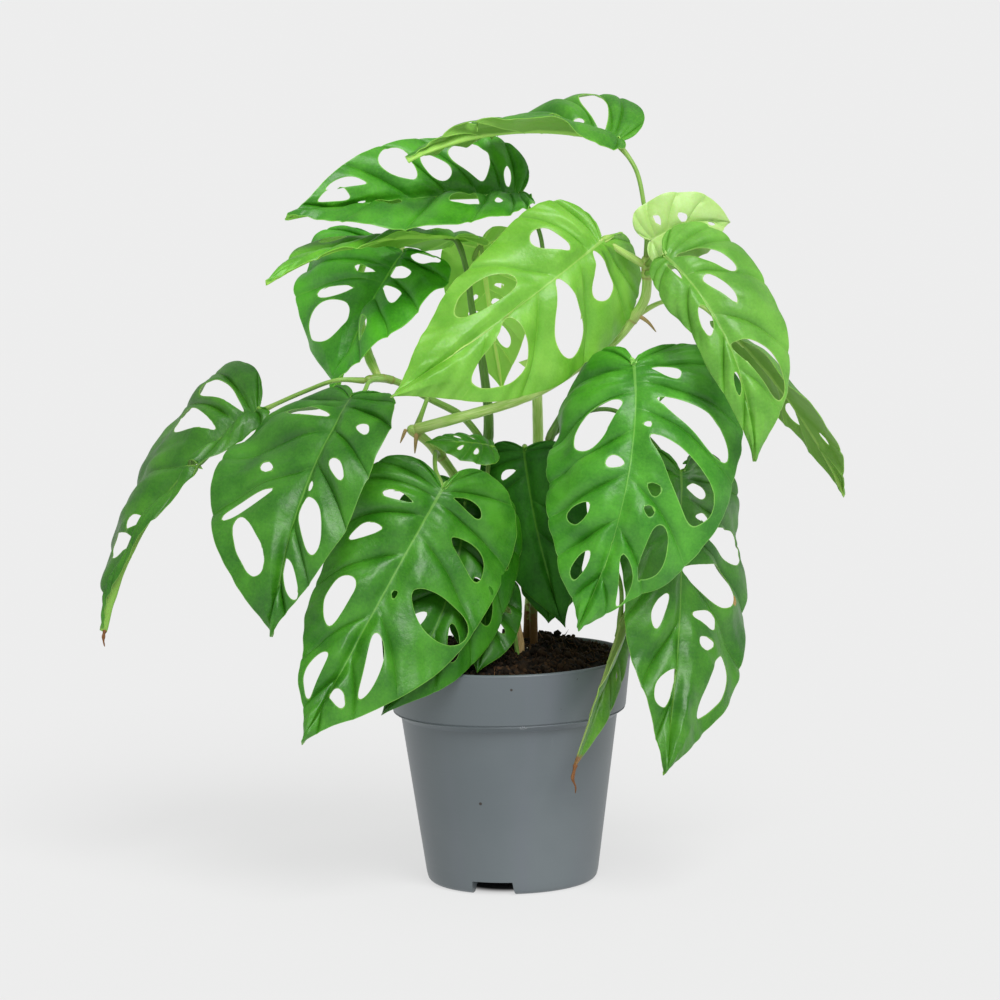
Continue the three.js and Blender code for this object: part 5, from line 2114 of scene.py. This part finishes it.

# Each leaf's multipliers paint in how much light falls on it: above 1 as painted light, below 1 as
# painted shade, with its own tint mixed in.
SKINS: dict[str, BladeFinish] = {
    "leaf_crown": MID.lit_and_tinted(1.6, 1.45, 1.45),
    "leaf_upper_left": MID.lit_and_tinted(1.3, 1.42, 1.1),
    "leaf_arching_left": OLIVE.lit_and_tinted(1.12, 1.5, 0.85),
    "leaf_hanging_left": MID.lit_and_tinted(1.4, 1.7, 1.05),
    "leaf_centre": FRESH.lit_and_tinted(0.97, 0.96, 1.15),
    "leaf_behind_centre": FRESH.lit_and_tinted(1.7, 1.65, 1.9),
    "leaf_young": PALE.lit_and_tinted(0.85, 0.92, 0.87),
    "leaf_upper_right": COOL,
    "leaf_far_right": OLIVE.lit_and_tinted(0.95, 1.12, 0.9),
    "leaf_middle_right": MID.lit_and_tinted(1.35, 1.42, 1.7),
    "leaf_lower_right": replace(MID, spot=EDGE_SPOT).lit_and_tinted(0.95, 0.96, 0.75),
    "leaf_front": MID.lit_and_tinted(1.0, 1.06, 1.0),
    "leaf_behind_front": DULL.lit_and_tinted(0.6, 0.75, 0.45),
    "leaf_rim": DULL.lit_and_tinted(0.5, 0.62, 0.3),
    "leaf_left": MID.lit_and_tinted(0.9, 0.96, 0.9),
    "leaf_far_left": MID.lit_and_tinted(0.94, 0.92, 0.75),
    "leaf_inner": SHADE.lit_and_tinted(0.85, 1.05, 0.7),
    "leaf_low": SHADE.lit_and_tinted(0.95, 1.2, 0.6),
    "leaf_small": MID.lit_and_tinted(1.35, 1.3, 1.1),
    "leaf_dry_tip": replace(MID, spot=TIP_SPOT).lit_and_tinted(1.7, 1.12, 1.8),
}

# Lit and shaded copies of the stalk skin: the fresh greens are raised as painted light for stalks
# in the light, the dark ones are partly painted shade for stalks in shadow, as well as their own
# colours.
FRESH_LIT_STALK = StalkFinish((166, 214, 92), (212, 238, 148), (176, 170, 100))
DARK_SHADED_STALK = StalkFinish((78, 124, 40), (112, 160, 66), (108, 116, 54))

STALK_SKINS: dict[str, StalkFinish] = {
    "stem_main": FRESH_LIT_STALK,
    "stem_back": FRESH_LIT_STALK,
    "stem_right": DARK_SHADED_STALK,
    "leaf_arching_left": DARK_SHADED_STALK,
    "leaf_upper_left": DARK_SHADED_STALK,
    "leaf_hanging_left": FRESH_LIT_STALK,
    "leaf_centre": FRESH_LIT_STALK,
    "leaf_far_right": FRESH_LIT_STALK,
    "leaf_lower_right": DARK_SHADED_STALK,
    "leaf_middle_right": DARK_SHADED_STALK,
}

# How much thicker some stalks are towards their feet, in millimetres.
STOUT: dict[str, float] = {"leaf_arching_left": 1.7, "leaf_hanging_left": 1.5, "leaf_centre": 1.0}

# The middle lines of the tips' withered ends, in millimetres.
THREADS: dict[str, tuple] = {
    "leaf_far_left": ((-196.2, -8, 129.5), (-197, -8, 127), (-197.2, -8, 124), (-196.7, -8, 121)),
    "leaf_dry_tip": (
        (31.2, -65.5, 69), (30.2, -66, 65), (29.6, -67, 62), (30.9, -67, 58), (30.7, -66, 54.5),
    ),
}


# ------------------------------------------------------------------ studio


@dataclass(frozen=True)
class Studio:
    """Pale floor, soft even light and the camera.

    The eye is in millimetres, the angles are in degrees and the focal length is in pixels of
    the render.
    """

    eye: tuple = (-2.28, -2500.0, 537.2)
    pitch: float = 7.951
    roll: float = -1.242
    focal: float = 5174.6
    sky: float = 0.45
    sun: float = 2.4
    sun_from: tuple = (0.35, -0.95, 1.15)
    spread: float = 32.0
    half_floor: float = 40000.0
    floor: FloorFinish = FloorFinish()

    def camera(self) -> None:
        """Sets the camera up: it looks along +Y, down by the pitch, turned by the roll."""
        data = bpy.data.cameras.new("camera")
        data.sensor_width, data.lens = SENSOR, SENSOR * self.focal / RENDER_WIDTH
        data.clip_start, data.clip_end = 0.1, 100
        camera = bpy.data.objects.new("camera", data)
        p, r = math.radians(self.pitch), math.radians(self.roll)
        ahead = np.array([0, math.cos(p), -math.sin(p)])
        upright = np.array([0, math.sin(p), math.cos(p)])
        right = np.array([1, 0, 0]) * math.cos(r) + upright * math.sin(r)
        above = upright * math.cos(r) - np.array([1, 0, 0]) * math.sin(r)
        matrix = np.eye(4)
        matrix[:3, :3] = np.stack([right, above, -ahead], axis=1)
        matrix[:3, 3] = np.array(self.eye) * MM
        camera.matrix_world = Matrix(matrix.tolist())
        bpy.context.scene.collection.objects.link(camera)
        bpy.context.scene.camera = camera

    def light(self) -> None:
        """Sets an even sky and one wide soft light."""
        world = bpy.data.worlds.new("sky")
        bpy.context.scene.world = world
        world.use_nodes = True
        sockets = world.node_tree.nodes["Background"].inputs
        sockets["Color"].default_value = (1, 1, 1, 1)
        sockets["Strength"].default_value = self.sky
        data = bpy.data.lights.new("soft_light", "SUN")
        data.energy, data.angle = self.sun, math.radians(self.spread)
        lamp = bpy.data.objects.new("soft_light", data)
        lamp.rotation_euler = Vector(self.sun_from).to_track_quat("Z", "Y").to_euler()
        bpy.context.scene.collection.objects.link(lamp)

    def ground(self) -> bpy.types.Object:
        """The floor that the pot stands on.

        Returns:
            The floor.
        """
        corners = np.array([[-1, -1, 0], [1, -1, 0], [1, 1, 0], [-1, 1, 0]])
        sheet = Surface(corners * self.half_floor, np.array([[0, 1, 2], [0, 2, 3]]))
        floor = make_piece("floor", [sheet], [self.floor.dress("paper")])
        return floor

    def build(self) -> None:
        """Sets the whole studio up."""
        bpy.context.scene.view_settings.view_transform = "Standard"
        self.camera()
        self.light()
        self.ground()


# ------------------------------------------------------------------ assembly


def joints_on(stem: str) -> tuple:
    """Where the stalks leave a stem."""
    return tuple(leaf.stalk[0] for leaf in LEAVES if leaf.on == stem)


def assemble() -> Iterable[bpy.types.Object]:
    """Builds every piece, from the pot to the last leaf.

    Returns:
        The pieces, one after the other.
    """
    yield Pot().build()
    yield Soil().build()
    for plan in STEMS:
        skin = STALK_SKINS.get(plan.name, StalkFinish())
        yield Stem(plan, joints_on(plan.name), woody=plan.name == "dry_stump", finish=skin).build()
    for plan in LEAVES:
        skin = STALK_SKINS.get(plan.name, StalkFinish())
        thread = THREADS.get(plan.name, ())
        stout = STOUT.get(plan.name, 0.0)
        yield Leaf(plan, SKINS[plan.name], thread=thread, stout=stout, stalk_finish=skin).build()


def main() -> None:
    """Builds the plant and its studio."""
    logging.basicConfig(level=logging.INFO, format="%(message)s")
    for piece in assemble():
        log.info("%s: %d triangles", piece.name, len(piece.data.polygons))
    Studio().build()


if __name__ == "__main__":
    main()
